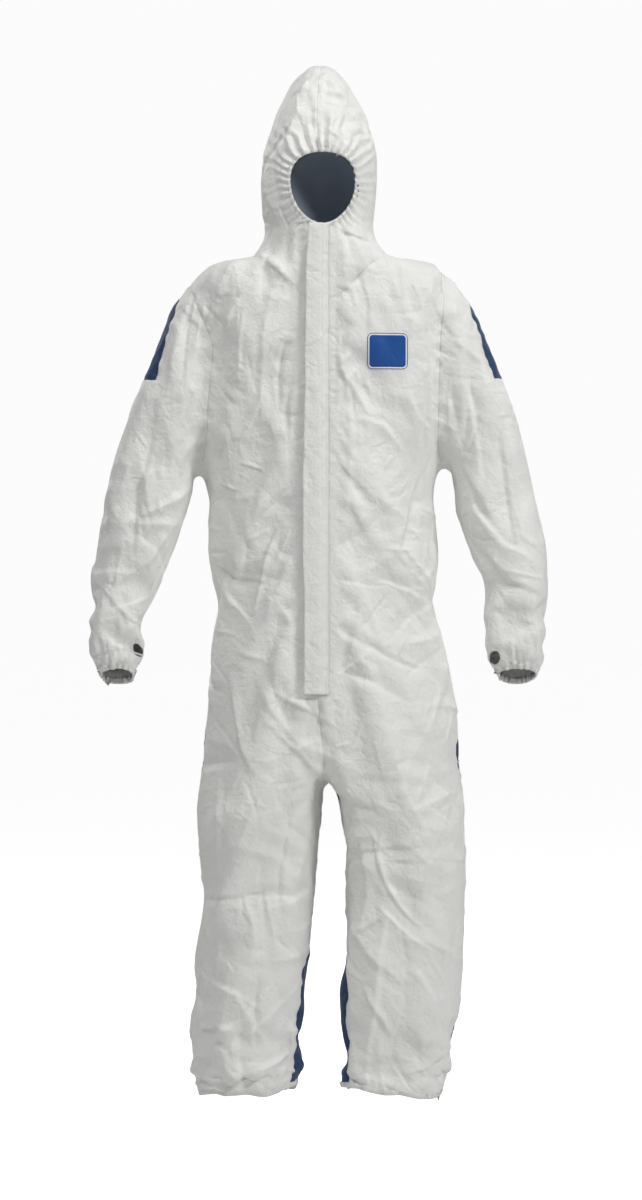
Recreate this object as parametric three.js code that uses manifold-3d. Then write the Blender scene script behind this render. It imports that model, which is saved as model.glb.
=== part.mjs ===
// Hooded chemical protective coverall, size L, worn by someone standing with their arms slightly out.
// Millimetres, +Z up. The front faces -Y and the wearer's right side is at -X.
// Heights are counted from the ankle hem. The exported group lowers them by SHOULDER_HEIGHT, so its
// origin lies between the wearer's shoulders, which carry the suit.
//
// Each soft wall is a shell lofted through oval rings and cut into its panels along the seams. The
// panels are also parted at the elbows, hips and knees, where the suit bends with its wearer.
import * as THREE from 'three';
import { mergeVertices } from 'three/addons/utils/BufferGeometryUtils.js';
import Module from 'manifold-3d';

const wasm = await Module();
wasm.setup();

// ---- Driving dimensions -------------------------------------------------------------------------

const FABRIC = 2.5;            // wall of every soft shell
const ELASTIC = 1.8;           // elastic band sewn inside a hem
const GAP = 0.3;               // clearance between neighbouring pieces
const FAR = 1000;              // past the suit in every direction

const SHOULDER_HEIGHT = 1454;
const COLLAR_HEIGHT = 1466;
const HOOD_SEAM_HEIGHT = 1514;
const SEAT_HEIGHT = 592;       // lower end of the body panels
const CROTCH_HEIGHT = 541;
const THIGH_TOP = 498;
const THIGH_BOTTOM = 412;
const SHIN_TOP = 288;
const ARMPIT_HEIGHT = 1118;
const ELBOW_TOP = 1060;
const ELBOW_BOTTOM = 960;
const CUFF_HEIGHT = 722;

const ARMHOLE_X = 205;         // the armhole lies in a plane on each side
const ARMHOLE_FOOT = 1128;     // the side seam ends here, under the armhole
const SIDE_SEAM_Y = 12;        // the side seams run a little behind the middle
const INSEAM_TURN = 0.11;      // the leg seams come forward towards the inside leg, in radians
const SLEEVE_BLUE_SEAM = 1251; // height of the cross seam at the outside of the upper sleeve

const ZIP_X = -6;
const ZIP_BOTTOM = 712;
const ZIP_TOP = 1498;
const ZIP_SLOT = 5;            // half the gap between the two front edges
const TAPE_WIDTH = 14;
const TAPE_THICK = 0.8;
const TAPE_SET = 2.2;          // the tapes lie this far behind the fabric's inner face
const CHAIN_WIDTH = 2.6;
const CHAIN_THICK = 2.2;
const CHANNEL = 1.5;           // half the gap between the two rows of teeth
const SLIDER = { length: 13, width: 9, plate: 1.2, height: 1492 };
const PULL = { length: 18, width: 6, thick: 1.2, stand: 1.1 };
const LUG = { width: 2, top: 2.2, bottom: 5.2, length: 3.9 }; // top and bottom: below the slider's top

const FLAP = { freeEdge: -28, stitchedEdge: 13, bottom: 703, top: 1508, lift: 6, thick: 1.6, foot: 6 };
const FACE = { x: 3, height: 1584, halfWidth: 56, halfHeight: 62, front: -114, back: -94, rim: 6 };
const LABEL = { x: 115, height: 1293, width: 70, tall: 62, corner: 9, thick: 1 };
const THUMB_HOLE = { halfWidth: 9, halfHeight: 13 };

// The front closes along one straight line, so that the zip runs and the flap hinges.
const FRONT_LINE = { low: 703, lowY: -121, high: 1514, highY: -106 };
const frontY = (height) => THREE.MathUtils.mapLinear(
  height, FRONT_LINE.low, FRONT_LINE.high, FRONT_LINE.lowY, FRONT_LINE.highY);

// ---- Materials ----------------------------------------------------------------------------------

const finish = (color, roughness, metalness = 0) =>
  () => new THREE.MeshStandardMaterial({ color, roughness, metalness });
const WHITE = finish(0xe6e6e1, 0.62);
const NAVY = finish(0x26406a, 0.8);
const ELASTIC_WHITE = finish(0xd4d4ce, 0.85);
const ZIP_WHITE = finish(0xdcdcda, 0.4);
const LABEL_BLUE = finish(0x0a4a92, 0.5);

// ---- Rings, lofts and cuts ----------------------------------------------------------------------

// A ring is an oval in a plane that holds the Y direction: it reaches from its inner point to its
// outer point, each [x, height], and from front to back in Y. A higher square makes it boxier. A
// wall, as { side, x }, cuts it off flat there and keeps the part on that side.
const ring = (inner, outer, front, back, square = 2.4, wall = null) =>
  ({ inner, outer, front, back, square, wall });
const level = (height, left, right, front, back, square, wall) =>
  ring([left, height], [right, height], front, back, square, wall);

function ringPoints({ inner, outer, front, back, square, wall }, sides, inset) {
  const [a, b] = [new THREE.Vector3(inner[0], 0, inner[1]), new THREE.Vector3(outer[0], 0, outer[1])];
  const centre = a.clone().add(b).multiplyScalar(0.5);
  const half = b.clone().sub(a).multiplyScalar(0.5);
  half.setLength(half.length() - inset);
  const middleY = (front + back) / 2;
  const depth = (back - front) / 2 - inset;
  return Array.from({ length: sides }, (_, i) => {
    const angle = 2 * Math.PI * (i + 0.5) / sides;
    const [c, s] = [Math.cos(angle), Math.sin(angle)];
    const across = Math.sign(c) * Math.abs(c) ** (2 / square);
    const along = Math.sign(s) * Math.abs(s) ** (2 / square);
    const point = centre.clone().addScaledVector(half, across).setY(middleY + depth * along);
    return wall ? point.setX(wall.side * Math.max(wall.side * point.x, wall.x + inset)) : point;
  });
}

function solid(geometry) {
  const bare = geometry.clone();
  bare.deleteAttribute('normal');
  bare.deleteAttribute('uv');
  const merged = mergeVertices(bare, 1e-4);
  return new wasm.Manifold(new wasm.Mesh({
    numProp: 3,
    vertProperties: new Float32Array(merged.attributes.position.array),
    triVerts: new Uint32Array(merged.index.array),
  }));
}

// A closed solid through the rings. A positive overrun lengthens it past both end rings.
function loft(rings, sides, inset = 0, overrun = 0) {
  const loops = rings.map((r) => ringPoints(r, sides, inset));
  const centres = loops.map((loop) =>
    loop.reduce((sum, p) => sum.add(p), new THREE.Vector3()).divideScalar(sides));
  const last = rings.length - 1;
  [[0, 1], [last, last - 1]].forEach(([end, next]) => {
    const step = centres[end].clone().sub(centres[next]).setLength(overrun);
    loops[end].forEach((p) => p.add(step));
    centres[end].add(step);
  });
  const points = [...loops.flat(), centres[0], centres[last]];
  const index = [];
  for (let i = 0; i < sides; i += 1) {
    const j = (i + 1) % sides;
    for (let k = 0; k < last; k += 1) {
      const [low, high] = [k * sides, (k + 1) * sides];
      index.push(low + i, low + j, high + j, low + i, high + j, high + i);
    }
    index.push(rings.length * sides, j, i);
    index.push(rings.length * sides + 1, last * sides + i, last * sides + j);
  }
  const geometry = new THREE.BufferGeometry().setFromPoints(points).setIndex(index);
  const body = solid(geometry);
  return body.volume() > 0 ? body : solid(flipped(geometry));
}

function flipped(geometry) {
  const index = Array.from(geometry.index.array);
  for (let i = 0; i < index.length; i += 3) {
    [index[i + 1], index[i + 2]] = [index[i + 2], index[i + 1]];
  }
  return geometry.clone().setIndex(index);
}

const shell = (rings, sides) => loft(rings, sides).subtract(loft(rings, sides, FABRIC, 3));

// A layer between two depths under the outer face of a loft.
const layer = (rings, sides, outerInset, innerInset) =>
  loft(rings, sides, outerInset, 1).subtract(loft(rings, sides, innerInset, 3));

// A box between two corners. A side left out reaches far past the suit.
function block({ x = [-FAR, FAR], y = [-FAR, FAR], h = [-FAR, 3 * FAR] }) {
  const size = [x, y, h].map(([low, high]) => high - low);
  const middle = [x, y, h].map(([low, high]) => (low + high) / 2);
  return solid(new THREE.BoxGeometry(...size).translate(...middle));
}

// An oval peg along Y, for openings.
function peg(x, height, halfWidth, halfHeight, [front, back], sides = 32) {
  const geometry = new THREE.CylinderGeometry(1, 1, back - front, sides);
  geometry.scale(halfWidth, 1, halfHeight).translate(x, (front + back) / 2, height);
  return solid(geometry);
}

const suit = new THREE.Group();
suit.position.z = -SHOULDER_HEIGHT;

function piece(name, body, material) {
  const { vertProperties, triVerts } = body.getMesh();
  const geometry = new THREE.BufferGeometry();
  geometry.setAttribute('position', new THREE.BufferAttribute(vertProperties, 3));
  geometry.setIndex(new THREE.BufferAttribute(triVerts, 1));
  geometry.computeVertexNormals();
  const mesh = new THREE.Mesh(geometry, material());
  mesh.name = name;
  suit.add(mesh);
}

// The two halves of the suit either side of a plane across X.
const rightOf = (x) => block({ x: [-FAR, x - GAP / 2] });
const leftOf = (x) => block({ x: [x + GAP / 2, FAR] });
const inFront = block({ y: [-FAR, SIDE_SEAM_Y - GAP / 2] });
const behind = block({ y: [SIDE_SEAM_Y + GAP / 2, FAR] });
const between = (low, high) => block({ h: [low + GAP / 2, high - GAP / 2] });

// ---- Body panels --------------------------------------------------------------------------------

const BODY_SIDES = 32;
const BODY_RINGS = [
  // height, right side, left side, back
  [SEAT_HEIGHT, -207, 236, 134],
  [690, -200, 231, 138],
  [800, -193, 217, 130],
  [870, -187, 200, 118],
  [940, -199, 207, 122],
  [1050, -195, 193, 128],
  [1130, -204, 201, 130],
  [1165, -232, 232, 132],
  [1300, -240, 240, 132],
  [1400, -235, 236, 122],
  [1432, -196, 204, 112],
  [1452, -150, 160, 100],
  [COLLAR_HEIGHT, -112, 115, 88],
].map(([height, right, left, back]) => level(height, right, left, frontY(height), back, 2.5));

const body = shell(BODY_RINGS, BODY_SIDES)
  .intersect(block({ x: [-ARMHOLE_X, ARMHOLE_X], h: [SEAT_HEIGHT + GAP / 2, COLLAR_HEIGHT - GAP / 2] })
    .add(between(SEAT_HEIGHT, ARMHOLE_FOOT)));
const zipSlot = block({ x: [ZIP_X - ZIP_SLOT, ZIP_X + ZIP_SLOT], y: [-FAR, 0], h: [ZIP_BOTTOM - 6, 2 * FAR] });
const bodyFront = body.intersect(inFront).subtract(zipSlot);
piece('right_front_body', bodyFront.intersect(rightOf(ZIP_X)), WHITE);
piece('left_front_body', bodyFront.intersect(leftOf(ZIP_X)), WHITE);
piece('right_back_body', body.intersect(behind).intersect(rightOf(0)), NAVY);
piece('left_back_body', body.intersect(behind).intersect(leftOf(0)), NAVY);

const inner = FABRIC + GAP;
const backElastic = layer(BODY_RINGS, BODY_SIDES, inner, inner + ELASTIC)
  .intersect(block({ y: [SIDE_SEAM_Y + 8, FAR], h: [864, 884] }));
piece('waist_elastic', backElastic, ELASTIC_WHITE);

// The label follows the chest, and its outline is a rounded rectangle.
function labelPatch() {
  const { width, tall, corner } = LABEL;
  const [w, t] = [width / 2 - corner, tall / 2 - corner];
  const outline = new THREE.Shape();
  outline.absarc(w, t, corner, 0, Math.PI / 2);
  outline.absarc(-w, t, corner, Math.PI / 2, Math.PI);
  outline.absarc(-w, -t, corner, Math.PI, 1.5 * Math.PI);
  outline.absarc(w, -t, corner, 1.5 * Math.PI, 2 * Math.PI);
  const prism = new THREE.ExtrudeGeometry(outline, { depth: 200, bevelEnabled: false, curveSegments: 4 });
  prism.rotateX(Math.PI / 2).translate(LABEL.x, 0, LABEL.height);
  return layer(BODY_RINGS, BODY_SIDES, -GAP - LABEL.thick, -GAP).intersect(solid(prism));
}
piece('label_patch', labelPatch(), LABEL_BLUE);

// ---- Neck and hood ------------------------------------------------------------------------------

const HOOD_SIDES = 24;
const HOOD_RINGS = [
  level(COLLAR_HEIGHT, -112, 115, frontY(COLLAR_HEIGHT), 88, 2.4),
  level(1490, -97, 95, frontY(1490), 88, 2.3),
  level(HOOD_SEAM_HEIGHT, -95, 90, frontY(HOOD_SEAM_HEIGHT), 96, 2.2),
  level(1532, -102, 93, -108, 108, 2.2),
  level(1590, -107, 98, -112, 122, 2.2),
  level(1645, -101, 99, -107, 124, 2.2),
  level(1715, -80, 78, -88, 110, 2.1),
  level(1772, -51, 46, -56, 78, 2),
  level(1794, -24, 22, -28, 44, 2),
  level(1801, -8, 8, -10, 20, 2),
];
const hood = loft(HOOD_RINGS, HOOD_SIDES)
  .subtract(loft(HOOD_RINGS, HOOD_SIDES, FABRIC, 3).intersect(block({ h: [0, 1797] })));
const faceHole = peg(FACE.x, FACE.height, FACE.halfWidth, FACE.halfHeight, [-200, -20]);
const neck = hood.intersect(between(COLLAR_HEIGHT, HOOD_SEAM_HEIGHT)).subtract(zipSlot);
const hoodTop = hood.intersect(between(HOOD_SEAM_HEIGHT, 2 * FAR)).subtract(faceHole);
// The neck parts at the zip in front and at the middle behind.
const rightNeck = block({ x: [-FAR, ZIP_X], y: [-FAR, 0] }).add(block({ x: [-FAR, -GAP], y: [-GAP, FAR] }));
piece('right_neck_panel', neck.intersect(rightNeck), WHITE);
piece('left_neck_panel', neck.intersect(block({ x: [ZIP_X, FAR], y: [-FAR, 0] }).add(leftOf(0))), WHITE);
piece('hood_right_panel', hoodTop.intersect(rightOf(0)), WHITE);
piece('hood_left_panel', hoodTop.intersect(leftOf(0)), WHITE);

const faceElastic = peg(FACE.x, FACE.height, FACE.halfWidth - GAP, FACE.halfHeight - GAP, [FACE.front, FACE.back])
  .subtract(peg(FACE.x, FACE.height, FACE.halfWidth - FACE.rim, FACE.halfHeight - FACE.rim, [-FAR, 0]));
piece('face_elastic', faceElastic, ELASTIC_WHITE);

// ---- Front closure ------------------------------------------------------------------------------

// Pieces of the closure are drawn upright in their own frame, with the front line as its Z axis at
// ZIP_X and -Y pointing out of the suit, and are then laid along the front line.
const frontTilt = Math.atan2(FRONT_LINE.highY - FRONT_LINE.lowY, FRONT_LINE.high - FRONT_LINE.low);
const alongFront = (heightAbove) => heightAbove / Math.cos(frontTilt);

function onFrontLine(body3d) {
  const place = new THREE.Matrix4()
    .makeTranslation(ZIP_X, frontY(FRONT_LINE.low), FRONT_LINE.low)
    .multiply(new THREE.Matrix4().makeRotationX(-frontTilt));
  return body3d.transform(place.elements);
}

// A bar in the closure's frame: x from the zip, out = distance out of the fabric's face.
const bar = (x, out, h) => block({
  x,
  y: [-out[1], -out[0]],
  h: h.map((height) => alongFront(height - FRONT_LINE.low)),
});

const tapeOut = [-FABRIC - TAPE_SET - TAPE_THICK, -FABRIC - TAPE_SET];
const chainOut = [tapeOut[1] - 0.1, tapeOut[1] + CHAIN_THICK];
function zipTape(side) {
  const order = (low, high) => (side > 0 ? [low, high] : [-high, -low]);
  const tape = bar(order(CHANNEL, TAPE_WIDTH), tapeOut, [ZIP_BOTTOM, ZIP_TOP + 8]);
  const chain = bar(order(CHANNEL, CHANNEL + CHAIN_WIDTH), chainOut, [ZIP_BOTTOM + 8, ZIP_TOP]);
  return onFrontLine(tape.add(chain));
}
piece('right_zip_tape', zipTape(-1), ZIP_WHITE);
piece('left_zip_tape', zipTape(1), ZIP_WHITE);

const stopOut = [chainOut[0] + GAP, chainOut[1]];
const STOP_LENGTH = 4;
const topStop = (side) => onFrontLine(bar(
  side > 0 ? [CHANNEL, CHANNEL + CHAIN_WIDTH] : [-CHANNEL - CHAIN_WIDTH, -CHANNEL],
  stopOut, [ZIP_TOP + GAP, ZIP_TOP + STOP_LENGTH]));
piece('right_top_stop', topStop(-1), ZIP_WHITE);
piece('left_top_stop', topStop(1), ZIP_WHITE);
piece('bottom_stop', onFrontLine(bar([-CHANNEL - CHAIN_WIDTH, CHANNEL + CHAIN_WIDTH], stopOut,
  [ZIP_BOTTOM + 1, ZIP_BOTTOM + 8 - GAP])), ZIP_WHITE);

// The slider clasps the teeth between two plates that a narrow post joins in the channel.
function zipSlider() {
  const span = [SLIDER.height - SLIDER.length, SLIDER.height];
  const wide = [-SLIDER.width / 2, SLIDER.width / 2];
  const face = chainOut[1] + GAP;
  const rear = tapeOut[0] - GAP;
  const frontPlate = bar(wide, [face, face + SLIDER.plate], span);
  const rearPlate = bar(wide, [rear - SLIDER.plate, rear], span);
  const post = bar([1 - CHANNEL, CHANNEL - 1], [rear - 0.1, face + 0.1], [span[1] - 5, span[1]]);
  const lug = bar([-LUG.width / 2, LUG.width / 2], [face + SLIDER.plate / 2, face + LUG.length],
    [span[1] - LUG.bottom, span[1] - LUG.top]);
  return frontPlate.add(rearPlate).add(post).add(lug);
}
piece('zip_slider', onFrontLine(zipSlider()), ZIP_WHITE);

// The pull hangs from the lug with its top loop around it.
function zipPull() {
  const out = chainOut[1] + GAP + SLIDER.plate + PULL.stand;
  const top = SLIDER.height;
  const room = 4 * GAP;
  const plate = bar([-PULL.width / 2, PULL.width / 2], [out, out + PULL.thick], [top - PULL.length, top]);
  const eye = bar([-LUG.width / 2 - GAP, LUG.width / 2 + GAP], [out - 1, out + PULL.thick + 1],
    [top - LUG.bottom - room, top - LUG.top + room]);
  return plate.subtract(eye);
}
piece('zip_pull', onFrontLine(zipPull()), ZIP_WHITE);

// The flap stands off the zip and bends down to its stitched edge.
function stormFlap() {
  const { freeEdge, stitchedEdge, bottom, top, lift, thick, foot } = FLAP;
  const [free, stitched] = [freeEdge - ZIP_X, stitchedEdge - ZIP_X];
  const outline = new THREE.Shape([
    [free, lift], [stitched - foot, lift], [stitched - thick, GAP], [stitched, GAP],
    [stitched, GAP + thick], [stitched - foot + 1, lift + thick], [free, lift + thick],
  ].map(([x, out]) => new THREE.Vector2(x, -out)));
  const length = alongFront(top - bottom);
  const strip = new THREE.ExtrudeGeometry(outline, { depth: length, bevelEnabled: false });
  return onFrontLine(solid(strip));
}
piece('storm_flap', stormFlap(), WHITE);

// ---- Sleeves ------------------------------------------------------------------------------------

const SLEEVE_SIDES = 16;

// Outer points of the rings around the armpit, from the armhole over the shoulder to the armpit's
// level, then the sleeve's inside and outside at each height down to the cuff.
const SLEEVES = {
  right: {
    side: -1,
    shoulder: [[205.6, 1424], [262, 1368], [311, SLEEVE_BLUE_SEAM], [345, 1165], [360, ARMPIT_HEIGHT]],
    arm: [[ARMPIT_HEIGHT, 216, 360], [1074, 222, 371], [1018, 237, 383], [955, 257, 391],
      [892, 278, 396], [836, 299, 401], [790, 305, 405], [765, 311, 402], [748, 322, 391],
      [CUFF_HEIGHT, 331, 379]],
    thumbHole: [317, 777],
  },
  left: {
    side: 1,
    shoulder: [[205.6, 1426], [268, 1370], [316, SLEEVE_BLUE_SEAM], [340, 1165], [352, ARMPIT_HEIGHT]],
    arm: [[ARMPIT_HEIGHT, 214, 352], [1074, 229, 363], [1018, 234, 378], [955, 252, 389],
      [892, 272, 392], [836, 275, 394], [790, 280, 395], [765, 288, 393], [748, 297, 387],
      [CUFF_HEIGHT, 312, 371]],
    thumbHole: [303, 763],
  },
};
const ARMPIT_POINTS = [[205.6, 1150], [208, 1140], [210, 1132], [212, 1125], [216, ARMPIT_HEIGHT]];
const SHOULDER_DEPTHS = [[-72, 78], [-76, 82], [-74, 80], [-70, 76], [-68, 74]];

// The arm hangs slightly forward and narrows to the cuff.
function sleeveDepth(height) {
  const down = (ARMPIT_HEIGHT - height) / (ARMPIT_HEIGHT - CUFF_HEIGHT);
  const half = THREE.MathUtils.lerp(70, height < 760 ? 34 : 52, down);
  const middle = THREE.MathUtils.lerp(3, -14, down);
  return [middle - half, middle + half];
}

Object.entries(SLEEVES).forEach(([name, { side, shoulder, arm, thumbHole }]) => {
  const headRings = shoulder.map(([x, height], i) => ring(
    [side * ARMPIT_POINTS[i][0], ARMPIT_POINTS[i][1]], [side * x, height], ...SHOULDER_DEPTHS[i]));
  const armRings = arm.map(([height, inside, outside]) =>
    level(height, side * inside, side * outside, ...sleeveDepth(height)));

  const headFront = shell(headRings, SLEEVE_SIDES).intersect(inFront);
  const yoke = shell(headRings.slice(0, 3), SLEEVE_SIDES).intersect(behind);
  const lowerHead = shell(headRings.slice(2), SLEEVE_SIDES)
    .intersect(behind)
    .subtract(yokeEdge(headRings[2]));
  const aboveArm = block({ h: [ARMPIT_HEIGHT + GAP / 2, 2 * FAR] });
  piece(`${name}_sleeve_head_front`, headFront.intersect(aboveArm), WHITE);
  piece(`${name}_sleeve_head_back`, yoke, NAVY);
  piece(`${name}_underarm_back`, lowerHead.intersect(aboveArm), WHITE);

  const tube = shell(armRings, SLEEVE_SIDES);
  const [holeX, holeHeight] = thumbHole;
  const hole = peg(side * holeX, holeHeight, THUMB_HOLE.halfWidth, THUMB_HOLE.halfHeight, [-150, -14], 16);
  piece(`${name}_upper_sleeve`, tube.intersect(between(ELBOW_TOP, ARMPIT_HEIGHT)), WHITE);
  piece(`${name}_elbow_section`, tube.intersect(between(ELBOW_BOTTOM, ELBOW_TOP)), WHITE);
  piece(`${name}_forearm_sleeve`, tube.intersect(between(-FAR, ELBOW_BOTTOM)).subtract(hole), WHITE);
  piece(`${name}_wrist_elastic`, layer(armRings, SLEEVE_SIDES, inner, inner + ELASTIC)
    .intersect(block({ h: [CUFF_HEIGHT + 4, CUFF_HEIGHT + 20] })), ELASTIC_WHITE);
});

// A thin slab in the plane of a ring, which keeps two lofts that share it apart.
function yokeEdge({ inner: near, outer }) {
  const lean = Math.atan2(outer[1] - near[1], outer[0] - near[0]);
  const slab = new THREE.BoxGeometry(2 * FAR, 2 * FAR, 2 * GAP).rotateY(-lean);
  return solid(slab.translate(near[0], 0, near[1]));
}

// ---- Legs ---------------------------------------------------------------------------------------

const LEG_SIDES = 18;

// Inside and outside of each leg at each height, counted away from the middle, and its depth. The
// first ring is the body's own, and the first two are cut off at the middle plane.
const LEGS = {
  right: {
    side: -1,
    rings: [[SEAT_HEIGHT, -236, 207], [CROTCH_HEIGHT, -110, 216], [THIGH_TOP, 3, 220], [436, 11, 218],
      [364, 17, 213], [247, 26, 222], [157, 30, 229], [51, 35, 231], [0, 46, 213]],
  },
  left: {
    side: 1,
    rings: [[SEAT_HEIGHT, -207, 236], [CROTCH_HEIGHT, -90, 245], [THIGH_TOP, 26, 249], [436, 43, 252],
      [364, 46, 251], [247, 44, 248], [157, 40, 245], [51, 38, 226], [0, 43, 204]],
  },
};
const LEG_DEPTHS = [[-122, 134], [-122, 132], [-118, 128], [-112, 124], [-104, 118], [-100, 114],
  [-97, 110], [-92, 104], [-84, 94]];

Object.entries(LEGS).forEach(([name, { side, rings }]) => {
  const legRings = rings.map(([height, inside, outside], i) =>
    level(height, side * inside, side * outside, ...LEG_DEPTHS[i], 2.5, { side, x: GAP / 2 }));
  // Above the crotch the two legs are one room, so the wall between them is cut away.
  const room = block({ x: [-8, 8], y: [-113, 122], h: [CROTCH_HEIGHT, 2 * FAR] });
  const leg = shell(legRings, LEG_SIDES).subtract(room);
  // The seams lean forward from the outside leg to the inside leg.
  const seamX = side * rings[3][2];
  const turned = (y) => solid(new THREE.BoxGeometry(2 * FAR, FAR, 4 * FAR)
    .translate(0, y, 0).rotateZ(side * INSEAM_TURN).translate(seamX, SIDE_SEAM_Y, 0));
  const front = leg.intersect(turned(-(FAR + GAP) / 2));
  const back = leg.intersect(turned((FAR + GAP) / 2));
  const sections = {
    hip: between(THIGH_TOP, SEAT_HEIGHT),
    thigh: between(THIGH_BOTTOM, THIGH_TOP),
    knee: between(SHIN_TOP, THIGH_BOTTOM),
    shin: between(-FAR, SHIN_TOP),
  };
  Object.entries(sections).forEach(([section, span]) => {
    piece(`${name}_${section}_front`, front.intersect(span), WHITE);
    piece(`${name}_${section}_back`, back.intersect(span), NAVY);
  });
  piece(`${name}_ankle_elastic`, layer(legRings, LEG_SIDES, inner, inner + ELASTIC)
    .intersect(block({ h: [5, 20] })), ELASTIC_WHITE);
});

export default suit;
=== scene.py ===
"""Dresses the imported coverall: sewn cloth pieces, closure, hems, finishes and a studio."""

import logging
import math
from collections.abc import Callable, Sequence
from dataclasses import dataclass, field
from enum import Enum

import bpy
import numpy as np
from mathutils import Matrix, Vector, noise
from mathutils.bvhtree import BVHTree


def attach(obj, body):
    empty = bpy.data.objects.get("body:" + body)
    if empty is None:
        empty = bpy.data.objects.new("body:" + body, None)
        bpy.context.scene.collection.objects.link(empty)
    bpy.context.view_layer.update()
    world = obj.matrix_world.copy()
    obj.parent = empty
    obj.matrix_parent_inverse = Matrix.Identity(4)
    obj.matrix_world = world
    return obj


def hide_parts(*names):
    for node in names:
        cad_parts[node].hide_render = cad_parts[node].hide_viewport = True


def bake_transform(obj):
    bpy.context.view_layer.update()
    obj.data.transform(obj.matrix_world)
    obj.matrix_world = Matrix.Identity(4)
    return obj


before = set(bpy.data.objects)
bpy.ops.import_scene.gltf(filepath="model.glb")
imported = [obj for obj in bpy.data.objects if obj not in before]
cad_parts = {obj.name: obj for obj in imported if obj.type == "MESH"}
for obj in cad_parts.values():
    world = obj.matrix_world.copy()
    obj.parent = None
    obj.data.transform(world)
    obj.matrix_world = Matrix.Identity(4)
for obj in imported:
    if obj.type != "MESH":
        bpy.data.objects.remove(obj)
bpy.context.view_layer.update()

logging.basicConfig(level=logging.INFO, format="%(message)s")
LOG = logging.getLogger("coverall")

Array = np.ndarray
Field = Callable[[Array], Array]
Faces = list[tuple[int, ...]]
Value = bpy.types.NodeSocket | float

ORIGIN_HEIGHT = 1454.0  # the frame's origin, in millimetres above the ankle hem, as all heights
SIDE_SEAM_Y = 0.012
ZIP_X = -0.006
FLAP_EDGE_X = 0.013
CROTCH_X = 0.004
ARM_SPLIT = 1064.0
LEG_TOP = 592.0
LEG_SPLIT = 455.0
ZIP_BOTTOM = 711.0
ZIP_TOP = 1506.0
ZIP_SLOT = 0.0124
FACE_CENTRE = (0.003, 1576.0)
FACE_RADII = (0.056, 0.062)
CUFF_X = 0.354
CUFF_Y = -0.0135
LABEL_CENTRE = (0.115, 1293.0)
WAIST_HEIGHT = 874.0
FRONT_FOOT = 703
FRONT_HEAD = 1514
FRONT_FOOT_Y = -121  # millimetres
FRONT_LEAN = 15  # how far the front goes back from its foot to its head, in millimetres
FAR = 1.0  # a distance past every reach, which takes a place out of a field
PLAIN_GAP = 0.05  # a seam distance at which a finish shows no seam


class Side(Enum):
    """The wearer's two sides, and the sign of x on each."""

    RIGHT = -1
    LEFT = 1

    @property
    def word(self) -> str:
        """The side's name as the frame writes it."""
        return self.name.lower()


ZIP_TAPES = {Side.RIGHT: (-0.0066, -0.020), Side.LEFT: (-0.0054, 0.008)}  # inner and outer x


def level(height: float) -> float:
    """The frame's z, in metres, at a height in millimetres above the ankle hem."""
    return (height - ORIGIN_HEIGHT) / 1000


def heights(places: Array) -> Array:
    """Millimetres above the ankle hem of each place."""
    return places[:, 2] * 1000 + ORIGIN_HEIGHT


def ramp(value: Array, start: float, end: float) -> Array:
    """Turns smoothly from 0 at start to 1 at end."""
    t = np.clip((value - start) / (end - start), 0, 1)
    return t * t * (3 - 2 * t)


def front_line(height: Array | float) -> Array | float:
    """The y of the cloth under the zip at a height in millimetres."""
    climbed = np.clip(height, FRONT_FOOT, FRONT_HEAD) - FRONT_FOOT
    return (FRONT_FOOT_Y + climbed * FRONT_LEAN / (FRONT_HEAD - FRONT_FOOT)) / 1000


def above(places: Array, height: Array | float) -> Array:
    """How far each place is above a height in millimetres, in metres."""
    return (heights(places) - height) / 1000


def grain(places: Array, size: float, seed: float, stretch: Sequence[float] = (1, 1, 1)) -> Array:
    """Smooth noise about zero.

    Args:
        places: One row per point, in metres.
        size: The width of one swell, in metres.
        seed: Moves the pattern, so that two calls differ.
        stretch: How much longer a swell is along each axis.

    Returns:
        One value per place, mostly from -0.5 to 0.5.
    """
    spots = places / (size * np.array(stretch)) + seed * 7.31
    return np.array([noise.noise(spot) for spot in spots.tolist()])


# ---------------------------------------------------------------- cloth surface


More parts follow.
